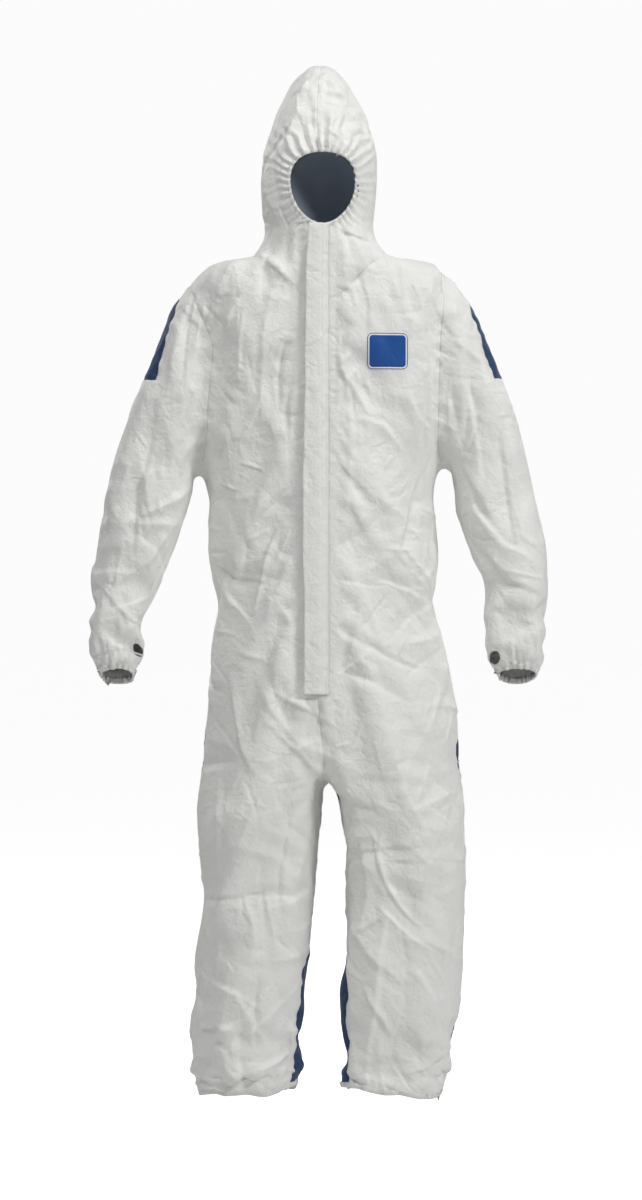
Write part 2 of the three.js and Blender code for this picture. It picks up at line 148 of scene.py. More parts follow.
@dataclass
class Surface:
    """A triangle mesh that can be split along lines, with several places for each vertex."""

    points: Array  # one row per vertex: where it began, then where it hangs
    triangles: Array

    @property
    def base(self) -> Array:
        """Where each vertex began."""
        return self.points[:, :3]

    @property
    def hung(self) -> Array:
        """Where each vertex hangs."""
        return self.points[:, 3:6]

    def centres(self) -> Array:
        """The middle of each triangle, where it began."""
        return self.base[self.triangles].mean(axis=1)

    def normals(self) -> Array:
        """The outward direction at each vertex as it hangs.

        Returns:
            One unit vector per vertex.
        """
        a, b, c = (self.hung[self.triangles[:, k]] for k in range(3))
        faces = np.cross(b - a, c - a)
        total = np.zeros_like(self.hung)
        for k in range(3):
            for axis in range(3):
                total[:, axis] += np.bincount(
                    self.triangles[:, k], weights=faces[:, axis], minlength=len(total)
                )
        return total / np.maximum(np.linalg.norm(total, axis=1, keepdims=True), 1e-12)

    def _edges(self) -> tuple[Array, Array]:
        """Each edge once, and the three edge numbers of each triangle.

        Returns:
            The two ends of each edge, and each triangle's edge numbers.
        """
        pairs = self.triangles[:, [0, 1, 1, 2, 2, 0]].reshape(-1, 2)
        keys = pairs.min(axis=1).astype(np.int64) * len(self.points) + pairs.max(axis=1)
        unique, numbers = np.unique(keys, return_inverse=True)
        ends = np.stack([unique // len(self.points), unique % len(self.points)], axis=1)
        return ends, numbers.reshape(-1, 3)

    def _split(self, ends: Array, numbers: Array, marked: Array, share: Array) -> Array:
        """Puts a vertex on each marked edge.

        Args:
            ends: The two vertices of each edge.
            numbers: The three edge numbers of each triangle.
            marked: Whether each edge is split.
            share: How far along each edge its new vertex sits, from 0 to 1.

        Returns:
            For each new triangle, the number of the one it came from.
        """
        at = share[marked, None]
        fresh = self.points[ends[marked, 0]] * (1 - at) + self.points[ends[marked, 1]] * at
        middle = np.full(len(ends), -1)
        middle[marked] = len(self.points) + np.arange(marked.sum())
        self.points = np.vstack([self.points, fresh])
        mid = middle[numbers]
        count = (mid >= 0).sum(axis=1)
        parts = [self.triangles[count == 0]]
        origin = [np.flatnonzero(count == 0)]
        first = {1: np.argmax(mid >= 0, axis=1), 2: (np.argmax(mid < 0, axis=1) + 2) % 3}
        first[3] = np.zeros(len(mid), int)
        patterns = {
            1: ((0, 3, 2), (3, 1, 2)),
            2: ((0, 3, 5), (3, 1, 2), (3, 2, 5)),
            3: ((0, 3, 5), (3, 1, 4), (5, 4, 2), (3, 4, 5)),
        }
        for marks, pattern in patterns.items():
            rows = np.flatnonzero(count == marks)
            turn = (first[marks][rows, None] + np.arange(3)) % 3
            corners = np.take_along_axis(self.triangles[rows], turn, axis=1)
            middles = np.take_along_axis(mid[rows], turn, axis=1)
            both = np.hstack([corners, middles])
            for triple in pattern:
                parts.append(both[:, triple])
                origin.append(rows)
        self.triangles = np.vstack(parts)
        return np.concatenate(origin)

    def refine(self, spacing: Field) -> None:
        """Splits edges until none is longer than the spacing wanted at its middle.

        Args:
            spacing: The longest edge allowed at each place, in metres.
        """
        for _ in range(3):
            ends, numbers = self._edges()
            a, b = self.base[ends[:, 0]], self.base[ends[:, 1]]
            marked = np.linalg.norm(a - b, axis=1) > spacing((a + b) / 2)
            if not marked.any():
                return
            self._split(ends, numbers, marked, np.full(len(ends), 0.5))

    def slit(self, value: Field, within: Field) -> None:
        """Lays edges along the line where a field is zero.

        Args:
            value: The field, in metres or alike.
            within: Which places the line may cross.
        """
        chosen = within(self.centres())
        ends, numbers = self._edges()
        at = value(self.base)
        v0, v1 = at[ends[:, 0]], at[ends[:, 1]]
        touched = np.zeros(len(ends), bool)
        touched[numbers[chosen].ravel()] = True
        marked = touched & ((v0 > 0) != (v1 > 0)) & (np.abs(v0) > 1e-7) & (np.abs(v1) > 1e-7)
        share = np.where(marked, v0 / np.where(marked, v0 - v1, 1), 0.5)
        self._split(ends, numbers, marked, np.clip(share, 0.02, 0.98))

    def keep(self, chosen: Array) -> None:
        """Leaves out the triangles that aren't chosen, and the vertices only they used.

        Args:
            chosen: Which triangles stay.
        """
        self.triangles = self.triangles[chosen]
        used, numbers = np.unique(self.triangles, return_inverse=True)
        self.points = self.points[used]
        self.triangles = numbers.reshape(-1, 3)


# ---------------------------------------------------------------- general form


def hull_of(points: Array) -> Array:
    """The convex outline of flat points, anticlockwise.

    Args:
        points: Points in a plane.

    Returns:
        The outline's corners in order.
    """
    ordered = sorted(map(tuple, np.round(points, 6)))

    def chain(run: Sequence[tuple[float, float]]) -> list[tuple[float, float]]:
        """One half of the outline.

        Args:
            run: Points from one end of the outline to the other.

        Returns:
            The corners of that half, without the last.
        """
        kept: list[tuple[float, float]] = []
        for p in run:
            while len(kept) > 1:
                (ax, ay), (bx, by) = kept[-2], kept[-1]
                if (bx - ax) * (p[1] - ay) - (by - ay) * (p[0] - ax) > 0:
                    break
                kept.pop()
            kept.append(p)
        return kept[:-1]

    return np.array(chain(ordered) + chain(ordered[::-1]))


@dataclass(frozen=True)
class Loft:
    """A run of CAD nodes, read level by level as one closed tube."""

    nodes: tuple[str, ...]
    bottom: float
    top: float
    step: float
    run_down: float = 0.0
    run_up: float = 0.008
    reach_in: float = 0.0
    around: int = 72

    def _outline(self, corners: Array, z: float) -> Array:
        """The tube's outline at one level, as one point per direction about its middle.

        Args:
            corners: The three corners of every triangle.
            z: The level, in metres.

        Returns:
            One point per direction, as x and y.
        """
        found = []
        for a, b in ((0, 1), (1, 2), (2, 0)):
            p, q = corners[:, a], corners[:, b]
            crosses = (p[:, 2] - z) * (q[:, 2] - z) < 0
            p, q = p[crosses], q[crosses]
            share = ((z - p[:, 2]) / (q[:, 2] - p[:, 2]))[:, None]
            found.append((p + (q - p) * share)[:, :2])
        flat = np.vstack(found)
        if self.reach_in:
            inner = np.abs(flat[:, 0]) < np.abs(flat[:, 0]).min() + 0.004
            flat[inner, 0] -= np.sign(flat[inner, 0]) * self.reach_in
        hull = hull_of(flat)
        middle = (hull.min(axis=0) + hull.max(axis=0)) / 2
        spokes = hull - middle
        turn = np.arctan2(spokes[:, 1], spokes[:, 0])
        spokes, turn = spokes[np.argsort(turn)], np.sort(turn)
        angle = -math.pi + (np.arange(self.around) + 0.5) * 2 * math.pi / self.around
        after = np.searchsorted(turn, angle) % len(turn)
        a, b = spokes[after - 1], spokes[after]
        way = np.stack([np.cos(angle), np.sin(angle)], axis=1)

        def cross(u: Array, v: Array) -> Array:
            """The flat cross product, row by row."""
            return u[:, 0] * v[:, 1] - u[:, 1] * v[:, 0]

        share = -cross(way, a) / cross(way, b - a)
        return middle + a + (b - a) * share[:, None]

    def rings(self) -> list[Array]:
        """The tube's rings from the bottom up.

        Returns:
            One ring of points per level.
        """
        corners = []
        for name in self.nodes:
            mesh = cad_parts[name].data
            mesh.calc_loop_triangles()
            place = np.array([v.co for v in mesh.vertices])
            corners.append(place[np.array([t.vertices for t in mesh.loop_triangles])])
        everything = np.vstack(corners)
        count = max(2, round((self.top - self.bottom) / self.step))
        levels = [level(h) for h in np.linspace(self.bottom, self.top, count)]
        rings = [
            np.column_stack([self._outline(everything, z), np.full(self.around, z)]) for z in levels
        ]
        if self.run_down:
            rings.insert(0, rings[0] - [0, 0, self.run_down])
        if self.run_up:
            rings.append(rings[-1] + [0, 0, self.run_up])
        return rings


def tube(rings: Sequence[Array], capped: bool = True) -> tuple[Array, Faces]:
    """Joins rings of points into a tube.

    Args:
        rings: Rings of as many points each, in order along the tube.
        capped: Whether both ends are closed.

    Returns:
        The points, and the faces as tuples of point numbers.
    """
    around = len(rings[0])
    faces: Faces = []
    for row in range(len(rings) - 1):
        for k in range(around):
            a, b = row * around + k, row * around + (k + 1) % around
            faces.append((a, b, b + around, a + around))
    if capped:
        faces.append(tuple(range(around))[::-1])
        last = (len(rings) - 1) * around
        faces.append(tuple(range(last, last + around)))
    return np.vstack(rings), faces


def new_object(name: str, points: Array, faces: Sequence[Sequence[int]]) -> bpy.types.Object:
    """A smooth-shaded mesh object in the scene.

    Args:
        name: The object's name.
        points: The mesh's points, in metres.
        faces: The faces, as point numbers.

    Returns:
        The object, linked to the scene.
    """
    mesh = bpy.data.meshes.new(name)
    mesh.from_pydata(points.tolist(), [], [tuple(f) for f in faces])
    mesh.polygons.foreach_set("use_smooth", np.ones(len(mesh.polygons), bool))
    mesh.update()
    made = bpy.data.objects.new(name, mesh)
    bpy.context.scene.collection.objects.link(made)
    return made


def after_modifiers(obj: bpy.types.Object) -> tuple[Array, Faces]:
    """The points and faces of an object as its modifiers leave it.

    Args:
        obj: The mesh object.

    Returns:
        The points, and the faces as tuples of point numbers.
    """
    graph = bpy.context.evaluated_depsgraph_get()
    shown = obj.evaluated_get(graph)
    mesh = shown.to_mesh()
    points = np.empty(len(mesh.vertices) * 3)
    mesh.vertices.foreach_get("co", points)
    faces = [tuple(p.vertices) for p in mesh.polygons]
    shown.to_mesh_clear()
    return points.reshape(-1, 3), faces


HANGING = {
    "quality": 4,
    "mass": 0.12,
    "tension_stiffness": 12,
    "compression_stiffness": 12,
    "shear_stiffness": 8,
    "bending_stiffness": 3.0,
    "air_damping": 2.5,
    "use_pressure": True,
    "uniform_pressure_force": 0.6,
}


@dataclass
class Form:
    """The whole suit as one smooth skin, before it is cut into pieces."""

    grid: float = 0.0112
    smoothing: int = 9
    hang_frames: int = 16
    spare_cloth: float = 0.04
    farthest: float = 0.013
    fork_rise: float = 0.044
    shoulder_rise: float = 0.016
    points: Array = field(default_factory=lambda: np.zeros((0, 3)))
    faces: Faces = field(default_factory=list)

    @staticmethod
    def lofts() -> list[Loft]:
        """The tubes that the skin is joined from.

        Returns:
            The trunk, the hood, and two tubes for each arm and one for each leg.
        """
        sides = [s.word for s in Side]
        trunk = tuple(f"{s}_{part}_body" for s in sides for part in ("front", "back"))
        hood = tuple(f"{s}_neck_panel" for s in sides) + tuple(f"hood_{s}_panel" for s in sides)
        found = [
            Loft(trunk, 593, 1464.5, 12, run_down=0.008),
            Loft(hood, 1466.5, 1799, 7, run_up=0.001),
        ]
        arm = ("sleeve_head_front", "sleeve_head_back", "underarm_back", "upper_sleeve")
        arm += ("elbow_section", "forearm_sleeve")
        leg = tuple(f"{part}_{face}" for part in ("hip", "thigh", "knee", "shin")
                    for face in ("front", "back"))
        for s in sides:
            upper = tuple(f"{s}_{n}" for n in arm)
            found.append(Loft(upper, 723, 1126, 12, run_down=0.04, run_up=0.006))
            found.append(Loft(upper, 1130, 1421, 10, run_down=0.006, reach_in=0.014))
            found.append(Loft(tuple(f"{s}_{n}" for n in leg), 1, 590.5, 12, run_down=0.04))
        return found

    def join(self) -> None:
        """Joins the tubes into one skin of even squares, and smooths it."""
        points: list[Array] = []
        faces: Faces = []
        for loft in self.lofts():
            p, f = tube(loft.rings())
            start = sum(len(x) for x in points)
            points.append(p)
            faces += [tuple(i + start for i in face) for face in f]
        solid = new_object("form", np.vstack(points), faces)
        remesh = solid.modifiers.new("even", "REMESH")
        remesh.mode = "VOXEL"
        remesh.voxel_size = self.grid
        self.points, self.faces = after_modifiers(solid)
        bpy.data.objects.remove(solid)
        self.points = self.eased(self.points, self.smoothing)
        height = heights(self.points)
        x, y = self.points[:, 0], self.points[:, 1]
        strip = 1 - ramp(np.abs(x - ZIP_X), 0.022, 0.06)
        strip *= (y < -0.05) * ramp(height, 660, 705) * (1 - ramp(height, 1500, 1516))
        crown = 0.35 * (x - ZIP_X) ** 2 / 0.12
        self.points[:, 1] += strip * (front_line(height) + crown - y)
        fork = np.exp(-(((x - CROTCH_X) / 0.045) ** 2) - ((height - 497) / 62) ** 2)
        cap = np.exp(-(((np.abs(x) - 0.215) / 0.06) ** 2)) * ramp(height, 1290, 1400)
        self.points[:, 2] += self.fork_rise * fork + self.shoulder_rise * cap

    def eased(self, values: Array, turns: int) -> Array:
        """Values at the vertices, averaged with their neighbours so many times.

        Args:
            values: One row per vertex.
            turns: How often they are averaged.

        Returns:
            The averaged values.
        """
        pairs = np.array([(f[k - 1], f[k]) for f in self.faces for k in range(len(f))])
        count = np.bincount(pairs.ravel(), minlength=len(values))[:, None]
        for turn in range(turns):
            total = np.zeros_like(values)
            for axis in range(values.shape[1]):
                for a, b in ((0, 1), (1, 0)):
                    total[:, axis] += np.bincount(
                        pairs[:, a], weights=values[pairs[:, b], axis], minlength=len(values)
                    )
            step = 0.5 if turn % 2 == 0 else -0.47
            values = values + step * (total / count - values)
        return values

    def _held(self) -> Array:
        """How firmly each vertex is held while the cloth hangs, from 0 to 1.

        Returns:
            One weight per vertex.
        """
        x, y = self.points[:, 0], self.points[:, 1]
        height = heights(self.points)
        arm = (np.abs(x) > 0.26) & (height > 690)
        held = (1 - ramp(np.abs(x - ZIP_X), 0.03, 0.06)) * (y < 0) * (height > 680)
        held = np.maximum(held, arm * (1 - ramp(height, 750, 775)))
        held = np.maximum(held, 1 - ramp(height, 12, 40))
        held = np.maximum(held, ramp(height, 1480, 1520))
        shoulder = ramp(height - ORIGIN_HEIGHT + 0.55 * np.maximum(np.abs(x) * 1000 - 110, 0), -50, -25)
        return np.maximum(held, shoulder)

    def hang(self) -> Array:
        """Lets the cloth's spare length buckle into folds.

        Returns:
            Where each vertex hangs, never farther than farthest from where it began.
        """
        cloth = new_object("cloth", self.points, self.faces)
        group = cloth.vertex_groups.new(name="held")
        for number, weight in enumerate(self._held().tolist()):
            if weight > 0.01:
                group.add([number], weight, "REPLACE")
        soft = cloth.modifiers.new("hang", "CLOTH")
        for key, value in HANGING.items():
            setattr(soft.settings, key, value)
        soft.settings.vertex_group_mass = group.name
        soft.settings.shrink_min = -self.spare_cloth
        soft.settings.effector_weights.gravity = 0.35
        soft.collision_settings.use_collision = False
        soft.point_cache.frame_start = 1
        soft.point_cache.frame_end = self.hang_frames
        scene = bpy.context.scene
        for number in range(1, self.hang_frames + 1):
            scene.frame_set(number)
        hung, _ = after_modifiers(cloth)
        scene.frame_set(1)
        bpy.data.objects.remove(cloth)
        shift = self.eased(hung - self.points, 2)
        length = np.linalg.norm(shift, axis=1, keepdims=True)
        limited = self.farthest * np.tanh(length / self.farthest)
        return self.points + shift * limited / np.maximum(length, 1e-9)

    def surface(self) -> Surface:
        """The skin at twice the detail, as triangles.

        Returns:
            The surface, with where it began and where it hangs.
        """
        hung = self.hang()
        copies = []
        for places in (self.points, hung):
            copy = new_object("finer", places, self.faces)
            finer = copy.modifiers.new("finer", "SUBSURF")
            finer.levels = 1
            copies.append(after_modifiers(copy))
            bpy.data.objects.remove(copy)
        (base, faces), (hung, _) = copies
        quads = np.array(faces)
        triangles = np.vstack([quads[:, [0, 1, 2]], quads[:, [0, 2, 3]]])
        return Surface(np.hstack([base, hung]), triangles)


# ---------------------------------------------------------------- cutting lines


def armhole_x(side: Side, height: Array) -> Array:
    """How far out the armhole seam is at each height.

    Args:
        side: The wearer's side.
        height: Millimetres above the ankle hem, one per place.

    Returns:
        One distance from the middle per place, in metres.
    """
    at, out = (
        ((722, 1128, 1197, 1307, 1402, 1440), (0.272, 0.2053, 0.201, 0.191, 0.226, 0.24))
        if side is Side.RIGHT
        else ((722, 1128, 1244, 1388, 1431), (0.272, 0.2035, 0.206, 0.213, 0.209))
    )
    return np.interp(height, at, out)


def centre_x(places: Array) -> Array:
    """The x of the middle seam, which is under the zip in front and in the middle behind.

    Args:
        places: One row per point, in metres.

    Returns:
        One x per place, in metres.
    """
    height = heights(places)
    front = np.interp(height, (LEG_TOP, 703), (CROTCH_X, ZIP_X))
    back = np.interp(height, (LEG_TOP, 660), (CROTCH_X, 0))
    return back + (front - back) * ramp(-places[:, 1], 0.02, 0.08)


def side_y(places: Array) -> Array:
    """The y of the side seam, which comes forward at the hips.

    Args:
        places: One row per point, in metres.

    Returns:
        One y per place, in metres.
    """
    height = heights(places)
    hip = np.exp(-(((height - 620) / 32) ** 2))
    behind = 0.020 + 0.020 * ramp(height, 660, 720)
    return SIDE_SEAM_Y + behind * (1 - ramp(height, 1240, 1400)) - 0.036 * hip


def leg_middle(places: Array) -> Array:
    """The x of the middle of the leg that each place is on.

    Args:
        places: One row per point, in metres.

    Returns:
        One x per place, in metres.
    """
    height = heights(places)
    right = np.interp(height, (0, 300, 592), (-0.125, -0.116, -0.105))
    left = np.interp(height, (0, 300, 592), (0.135, 0.147, 0.125))
    return np.where(places[:, 0] < CROTCH_X, right, left)


def leg_seam_y(places: Array) -> Array:
    """The y of the leg's seams: the inseam turns forward below the knee.

    Args:
        places: One row per point, in metres.

    Returns:
        One y per place, in metres.
    """
    height = heights(places)
    inside = (places[:, 0] - leg_middle(places)) * np.sign(places[:, 0] - CROTCH_X) < 0
    inner = SIDE_SEAM_Y + 0.014 - 0.068 * ramp(-height, -285, -215)
    hem = np.exp(-(((height - 79) / 26) ** 2)) * (places[:, 0] > 0.1)
    return np.where(inside, inner, side_y(places) - 0.050 * hem)


def yoke_x(places: Array) -> Array:
    """How far out the sleeve's dark yoke begins in front.

    Args:
        places: One row per point, in metres.

    Returns:
        One distance from the middle per place, in metres.
    """
    height = heights(places)
    right = np.interp(height, (1251, 1374, 1424), (0.291, 0.255, 0.233))
    return np.where(places[:, 0] < 0, right, right + 0.008)


def yoke_foot(places: Array) -> Array:
    """The height of the yoke's lower seam, which rises outwards."""
    return np.interp(np.abs(places[:, 0]), (0.21, 0.286), (1132, 1251))


def neck_height(places: Array) -> Array:
    """The height of the hood's seam, which dips to the zip in front."""
    dip = np.interp(np.abs(places[:, 0]), (0.028, 0.07, 0.11), (1386, 1430, 1465))
    return 1465 + (dip - 1465) * ramp(-places[:, 1], 0.0, 0.03)


def cuff_height(places: Array) -> Array:
    """The height of the cuff's edge, which is higher in front."""
    return 729 - 400 * (places[:, 1] - CUFF_Y)


def hem_height(places: Array) -> Array:
    """The height of the ankle hem, which is a little higher between the legs and waves.

    Args:
        places: One row per point, in metres.

    Returns:
        One height per place, in millimetres.
    """
    x, y = places[:, 0], places[:, 1]
    inner = ramp(-np.abs(x - CROTCH_X), -0.12, -0.04)
    turn = np.arctan2(y, x - leg_middle(places))
    return 3 + 14 * inner * (y < 0.03) + 2.5 * np.sin(3 * turn + 1) + 1.5 * np.sin(7 * turn)


def face_gap(places: Array) -> Array:
    """Distance outside the face opening, which is egg-shaped with its narrow end down.

    Args:
        places: One row per point, in metres.

    Returns:
        One distance per place, in metres, and less than 0 inside.
    """
    across = (places[:, 0] - FACE_CENTRE[0]) / FACE_RADII[0]
    up = above(places, FACE_CENTRE[1]) / FACE_RADII[1]
    up = np.clip(up, -3, 3)
    across = across / (1 + 0.15 * np.clip(up, -1, 1) - 0.05 * np.clip(up, -1, 1) ** 2)
    power = 2.1 + 0.3 * (up > 0)
    size = (np.abs(across) ** power + np.abs(up) ** power) ** (1 / power)
    return (size - 1) * min(FACE_RADII)


def oval(places: Array, centre: tuple[float, float], radii: tuple[float, float]) -> Array:
    """Distance outside an upright oval seen from in front, roughly in metres.

    Args:
        places: One row per point, in metres.
        centre: The oval's x in metres and its height in millimetres.
        radii: Half its width and half its height, in metres.

    Returns:
        One distance per place, and less than 0 inside.
    """
    across = (places[:, 0] - centre[0]) / radii[0]
    up = above(places, centre[1]) / radii[1]
    return (np.hypot(across, up) - 1) * min(radii)


def on_arm(places: Array) -> Array:
    """Whether each place is on a sleeve.

    Args:
        places: One row per point, in metres.

    Returns:
        One truth per place.
    """
    height = heights(places)
    right = -places[:, 0] > armhole_x(Side.RIGHT, height)
    left = places[:, 0] > armhole_x(Side.LEFT, height)
    return (right | left) & (height > 640) & (height < 1450)


def flap_seat(places: Array) -> Array:
    """How firmly a place is held back beside the storm flap's stitched edge.

    Args:
        places: One row per point, in metres.

    Returns:
        One weight per place, from 0 to 1.
    """
    height = heights(places)
    beside = 1 - ramp(np.abs(places[:, 0] - FLAP_EDGE_X - 0.003), 0.008, 0.015)
    beside *= places[:, 1] < -0.05
    return beside * ramp(height, 688, 700) * (1 - ramp(height, 1514, 1526))


def zip_gap(places: Array) -> Array:
    """Distance outside the slot that the zip shows through, in metres.

    Args:
        places: One row per point, in metres.

    Returns:
        One distance per place, and less than 0 inside.
    """
    height = heights(places)
    middle = (ZIP_BOTTOM + ZIP_TOP) / 2
    up = np.abs(height - middle) - (ZIP_TOP - ZIP_BOTTOM) / 2
    across = np.abs(places[:, 0] - ZIP_X) - ZIP_SLOT / 2
    return np.maximum(across, up / 1000) + (places[:, 1] > -0.04) * FAR


THUMB_HOLES = {  # x and height of the middle, then half the width and half the height
    Side.RIGHT: ((-0.317, 777.0), (0.0055, 0.0125)),
    Side.LEFT: ((0.303, 763.0), (0.0095, 0.013)),
}


@dataclass(frozen=True)
class Line:
    """A line across the skin: a seam, a free edge, or only where two pieces meet."""

    value: Field
    within: Field
    sewn: bool = True


def pattern_lines() -> list[Line]:
    """Every line that the skin is cut along.

    Returns:
        The lines, in the order that they are cut.
    """
    lines = []
    for side in Side:
        lines.append(Line(
            lambda p, s=side: p[:, 0] * s.value - armhole_x(s, heights(p)),
            lambda p, s=side: (heights(p) > 1110) & (heights(p) < 1452) & (p[:, 0] * s.value > 0.17),
        ))
        lines.append(Line(
            lambda p, s=side: oval(p, *THUMB_HOLES[s]) + (p[:, 1] > 0) * FAR,
            lambda p, s=side: (np.abs(oval(p, *THUMB_HOLES[s])) < 0.02) & (p[:, 1] < 0.0),
            sewn=False,
        ))
    lines += [
        Line(lambda p: above(p, neck_height(p)),
             lambda p: (heights(p) > 1360) & (np.abs(p[:, 0]) < 0.16) & ~on_arm(p)),
        Line(lambda p: p[:, 0] - centre_x(p),
             lambda p: (heights(p) > 530) & (np.abs(p[:, 0]) < 0.05)),
        Line(lambda p: p[:, 1] - side_y(p),
             lambda p: (heights(p) > LEG_TOP) & (heights(p) < 1466) & ~on_arm(p)),
        Line(lambda p: above(p, LEG_TOP),
             lambda p: (np.abs(heights(p) - LEG_TOP) < 40) & ~on_arm(p), sewn=False),
        Line(lambda p: p[:, 1] - leg_seam_y(p), lambda p: heights(p) < LEG_TOP),
        Line(lambda p: above(p, LEG_SPLIT),
             lambda p: np.abs(heights(p) - LEG_SPLIT) < 40, sewn=False),
        Line(lambda p: above(p, ARM_SPLIT),
             lambda p: (np.abs(heights(p) - ARM_SPLIT) < 40) & on_arm(p), sewn=False),
        Line(lambda p: above(p, yoke_foot(p)),
             lambda p: (heights(p) > 1120) & on_arm(p)
             & ((p[:, 1] > 0) | (np.abs(p[:, 0]) > yoke_x(p) - 0.003))),
        Line(lambda p: p[:, 1] - SIDE_SEAM_Y,
             lambda p: (heights(p) > yoke_foot(p) - 4) & on_arm(p)
             & (np.abs(p[:, 0]) < yoke_x(p) + 0.01)),
        Line(lambda p: np.abs(p[:, 0]) - yoke_x(p),
             lambda p: (heights(p) > yoke_foot(p) - 4) & on_arm(p) & (p[:, 1] < SIDE_SEAM_Y + 0.01)),
        Line(face_gap, lambda p: (p[:, 1] < -0.02) & (heights(p) > 1500), sewn=False),
        Line(zip_gap, lambda p: np.abs(zip_gap(p)) < 0.02, sewn=False),
        Line(lambda p: above(p, cuff_height(p)),
             lambda p: (heights(p) < 780) & on_arm(p), sewn=False),
        Line(lambda p: above(p, hem_height(p)), lambda p: heights(p) < 60, sewn=False),
    ]
    return lines


def inside_cloth(places: Array) -> Array:
    """Which places are on the suit, and not in its openings or past its edges.

    Args:
        places: One row per point, in metres.

    Returns:
        One truth per place.
    """
    height = heights(places)
    face = (face_gap(places) < 0) & (places[:, 1] < -0.02)
    gone = face | (zip_gap(places) < 0) | (on_arm(places) & (height < cuff_height(places)))
    gone |= ~on_arm(places) & (height < hem_height(places))
    for side in Side:
        gone |= (oval(places, *THUMB_HOLES[side]) < 0) & (places[:, 1] < 0) & on_arm(places)
    return ~gone


class Cloth(Enum):
    """What a piece is cut from."""

    WHITE = "white_nonwoven"
    NAVY = "navy_nonwoven"


@dataclass(frozen=True)
class Panel:
    """One sewn piece: where it lies, what it is cut from and how it moves."""

    name: str
    where: Field
    cloth: Cloth
    stands_for: tuple[str, ...]
    bodies: tuple[str, ...]
    start: tuple[float, float, float] = (0, 0, 0)
    end: tuple[float, float, float] = (0, 0, 0)

    def attach(self, obj: bpy.types.Object) -> None:
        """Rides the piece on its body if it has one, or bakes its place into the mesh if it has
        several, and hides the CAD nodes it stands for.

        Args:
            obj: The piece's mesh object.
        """
        if len(self.bodies) == 1:
            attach(obj, self.bodies[0])
        else:
            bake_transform(obj)
        if self.stands_for:
            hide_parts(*self.stands_for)


def trunk_panels(side: Side) -> list[Panel]:
    """The body and hood pieces of one side.

    Args:
        side: The wearer's side.

    Returns:
        The front, the back and the hood's half.
    """
    s = side.word

    def own_half(p: Array) -> Array:
        """Places on this side of the middle seam, off the sleeves and legs."""
        return ((p[:, 0] - centre_x(p)) * side.value > 0) & ~on_arm(p) & (heights(p) > LEG_TOP)

    def below_hood(p: Array) -> Array:
        """Places on this side's body."""
        return own_half(p) & (heights(p) < neck_height(p))

    return [
        Panel(f"{s}_front", lambda p: below_hood(p) & (p[:, 1] < side_y(p)), Cloth.WHITE,
              (f"{s}_front_body",), ("body",)),
        Panel(f"{s}_back", lambda p: below_hood(p) & (p[:, 1] >= side_y(p)), Cloth.NAVY,
              (f"{s}_back_body",), ("body",)),
        Panel(f"hood_{s}", lambda p: own_half(p) & (heights(p) >= neck_height(p)), Cloth.WHITE,
              (f"hood_{s}_panel", f"{s}_neck_panel"), ("body", "hood"),
              (0, 0, level(1466)), (0, 0, level(1514))),
    ]


def arm_panels(side: Side) -> list[Panel]:
    """The sleeve pieces of one side.

    Args:
        side: The wearer's side.

    Returns:
        The yoke, the upper sleeve and the lower sleeve.
    """
    s, out = side.word, side.value
    start = Vector((0.208 * out, 0, level(1140)))
    end = start + 0.070 * Vector((0.6 * out, 0, -0.8))

    def own(p: Array) -> Array:
        """Places on this sleeve."""
        return on_arm(p) & (p[:, 0] * out > 0)

    def yoke(p: Array) -> Array:
        """Places on the yoke behind the shoulder."""
        beyond = (p[:, 1] > SIDE_SEAM_Y) | (np.abs(p[:, 0]) > yoke_x(p))
        return own(p) & beyond & (heights(p) > yoke_foot(p))

    return [
        Panel(f"{s}_sleeve_yoke", yoke, Cloth.NAVY, (f"{s}_sleeve_head_back",),
              ("body", f"{s}_upper_arm"), tuple(start), tuple(end)),
        Panel(f"{s}_sleeve_upper", lambda p: own(p) & ~yoke(p) & (heights(p) > ARM_SPLIT),
              Cloth.WHITE,
              (f"{s}_sleeve_head_front", f"{s}_underarm_back", f"{s}_upper_sleeve"),
              ("body", f"{s}_upper_arm"), tuple(start), tuple(end)),
        Panel(f"{s}_sleeve_lower", lambda p: own(p) & (heights(p) <= ARM_SPLIT), Cloth.WHITE,
              (f"{s}_elbow_section", f"{s}_forearm_sleeve"),
              (f"{s}_upper_arm", f"{s}_forearm"), (0, 0, level(1060)), (0, 0, level(960))),
    ]


def leg_panels(side: Side) -> list[Panel]:
    """The leg pieces of one side.

    Args:
        side: The wearer's side.

    Returns:
        The upper and lower pieces of the leg's front and back.
    """
    s, out = side.word, side.value
    start = Vector((0, 0, level(541)))
    end = start + 0.085 * Vector((0.28 * out, 0, -0.96))
    found = []
    for face, cloth in (("front", Cloth.WHITE), ("back", Cloth.NAVY)):
        def own(p: Array, face: str = face) -> Array:
            """Places on this face of this leg."""
            mine = ((p[:, 0] - CROTCH_X) * out > 0) & ~on_arm(p) & (heights(p) <= LEG_TOP)
            return mine & ((p[:, 1] < leg_seam_y(p)) == (face == "front"))

        found.append(Panel(
            f"{s}_leg_{face}_upper",
            lambda p, own=own: own(p) & (heights(p) > LEG_SPLIT), cloth,
            (f"{s}_hip_{face}", f"{s}_thigh_{face}"),
            ("body", f"{s}_thigh"), tuple(start), tuple(end),
        ))
        found.append(Panel(
            f"{s}_leg_{face}_lower",
            lambda p, own=own: own(p) & (heights(p) <= LEG_SPLIT), cloth,
            (f"{s}_knee_{face}", f"{s}_shin_{face}"),
            (f"{s}_thigh", f"{s}_shin"), (0, 0, level(412)), (0, 0, level(288)),
        ))
    return found


# ---------------------------------------------------------------- relief


class Shape(Enum):
    """How a fold stands across its line."""

    RIDGE = 1
    VALLEY = -1


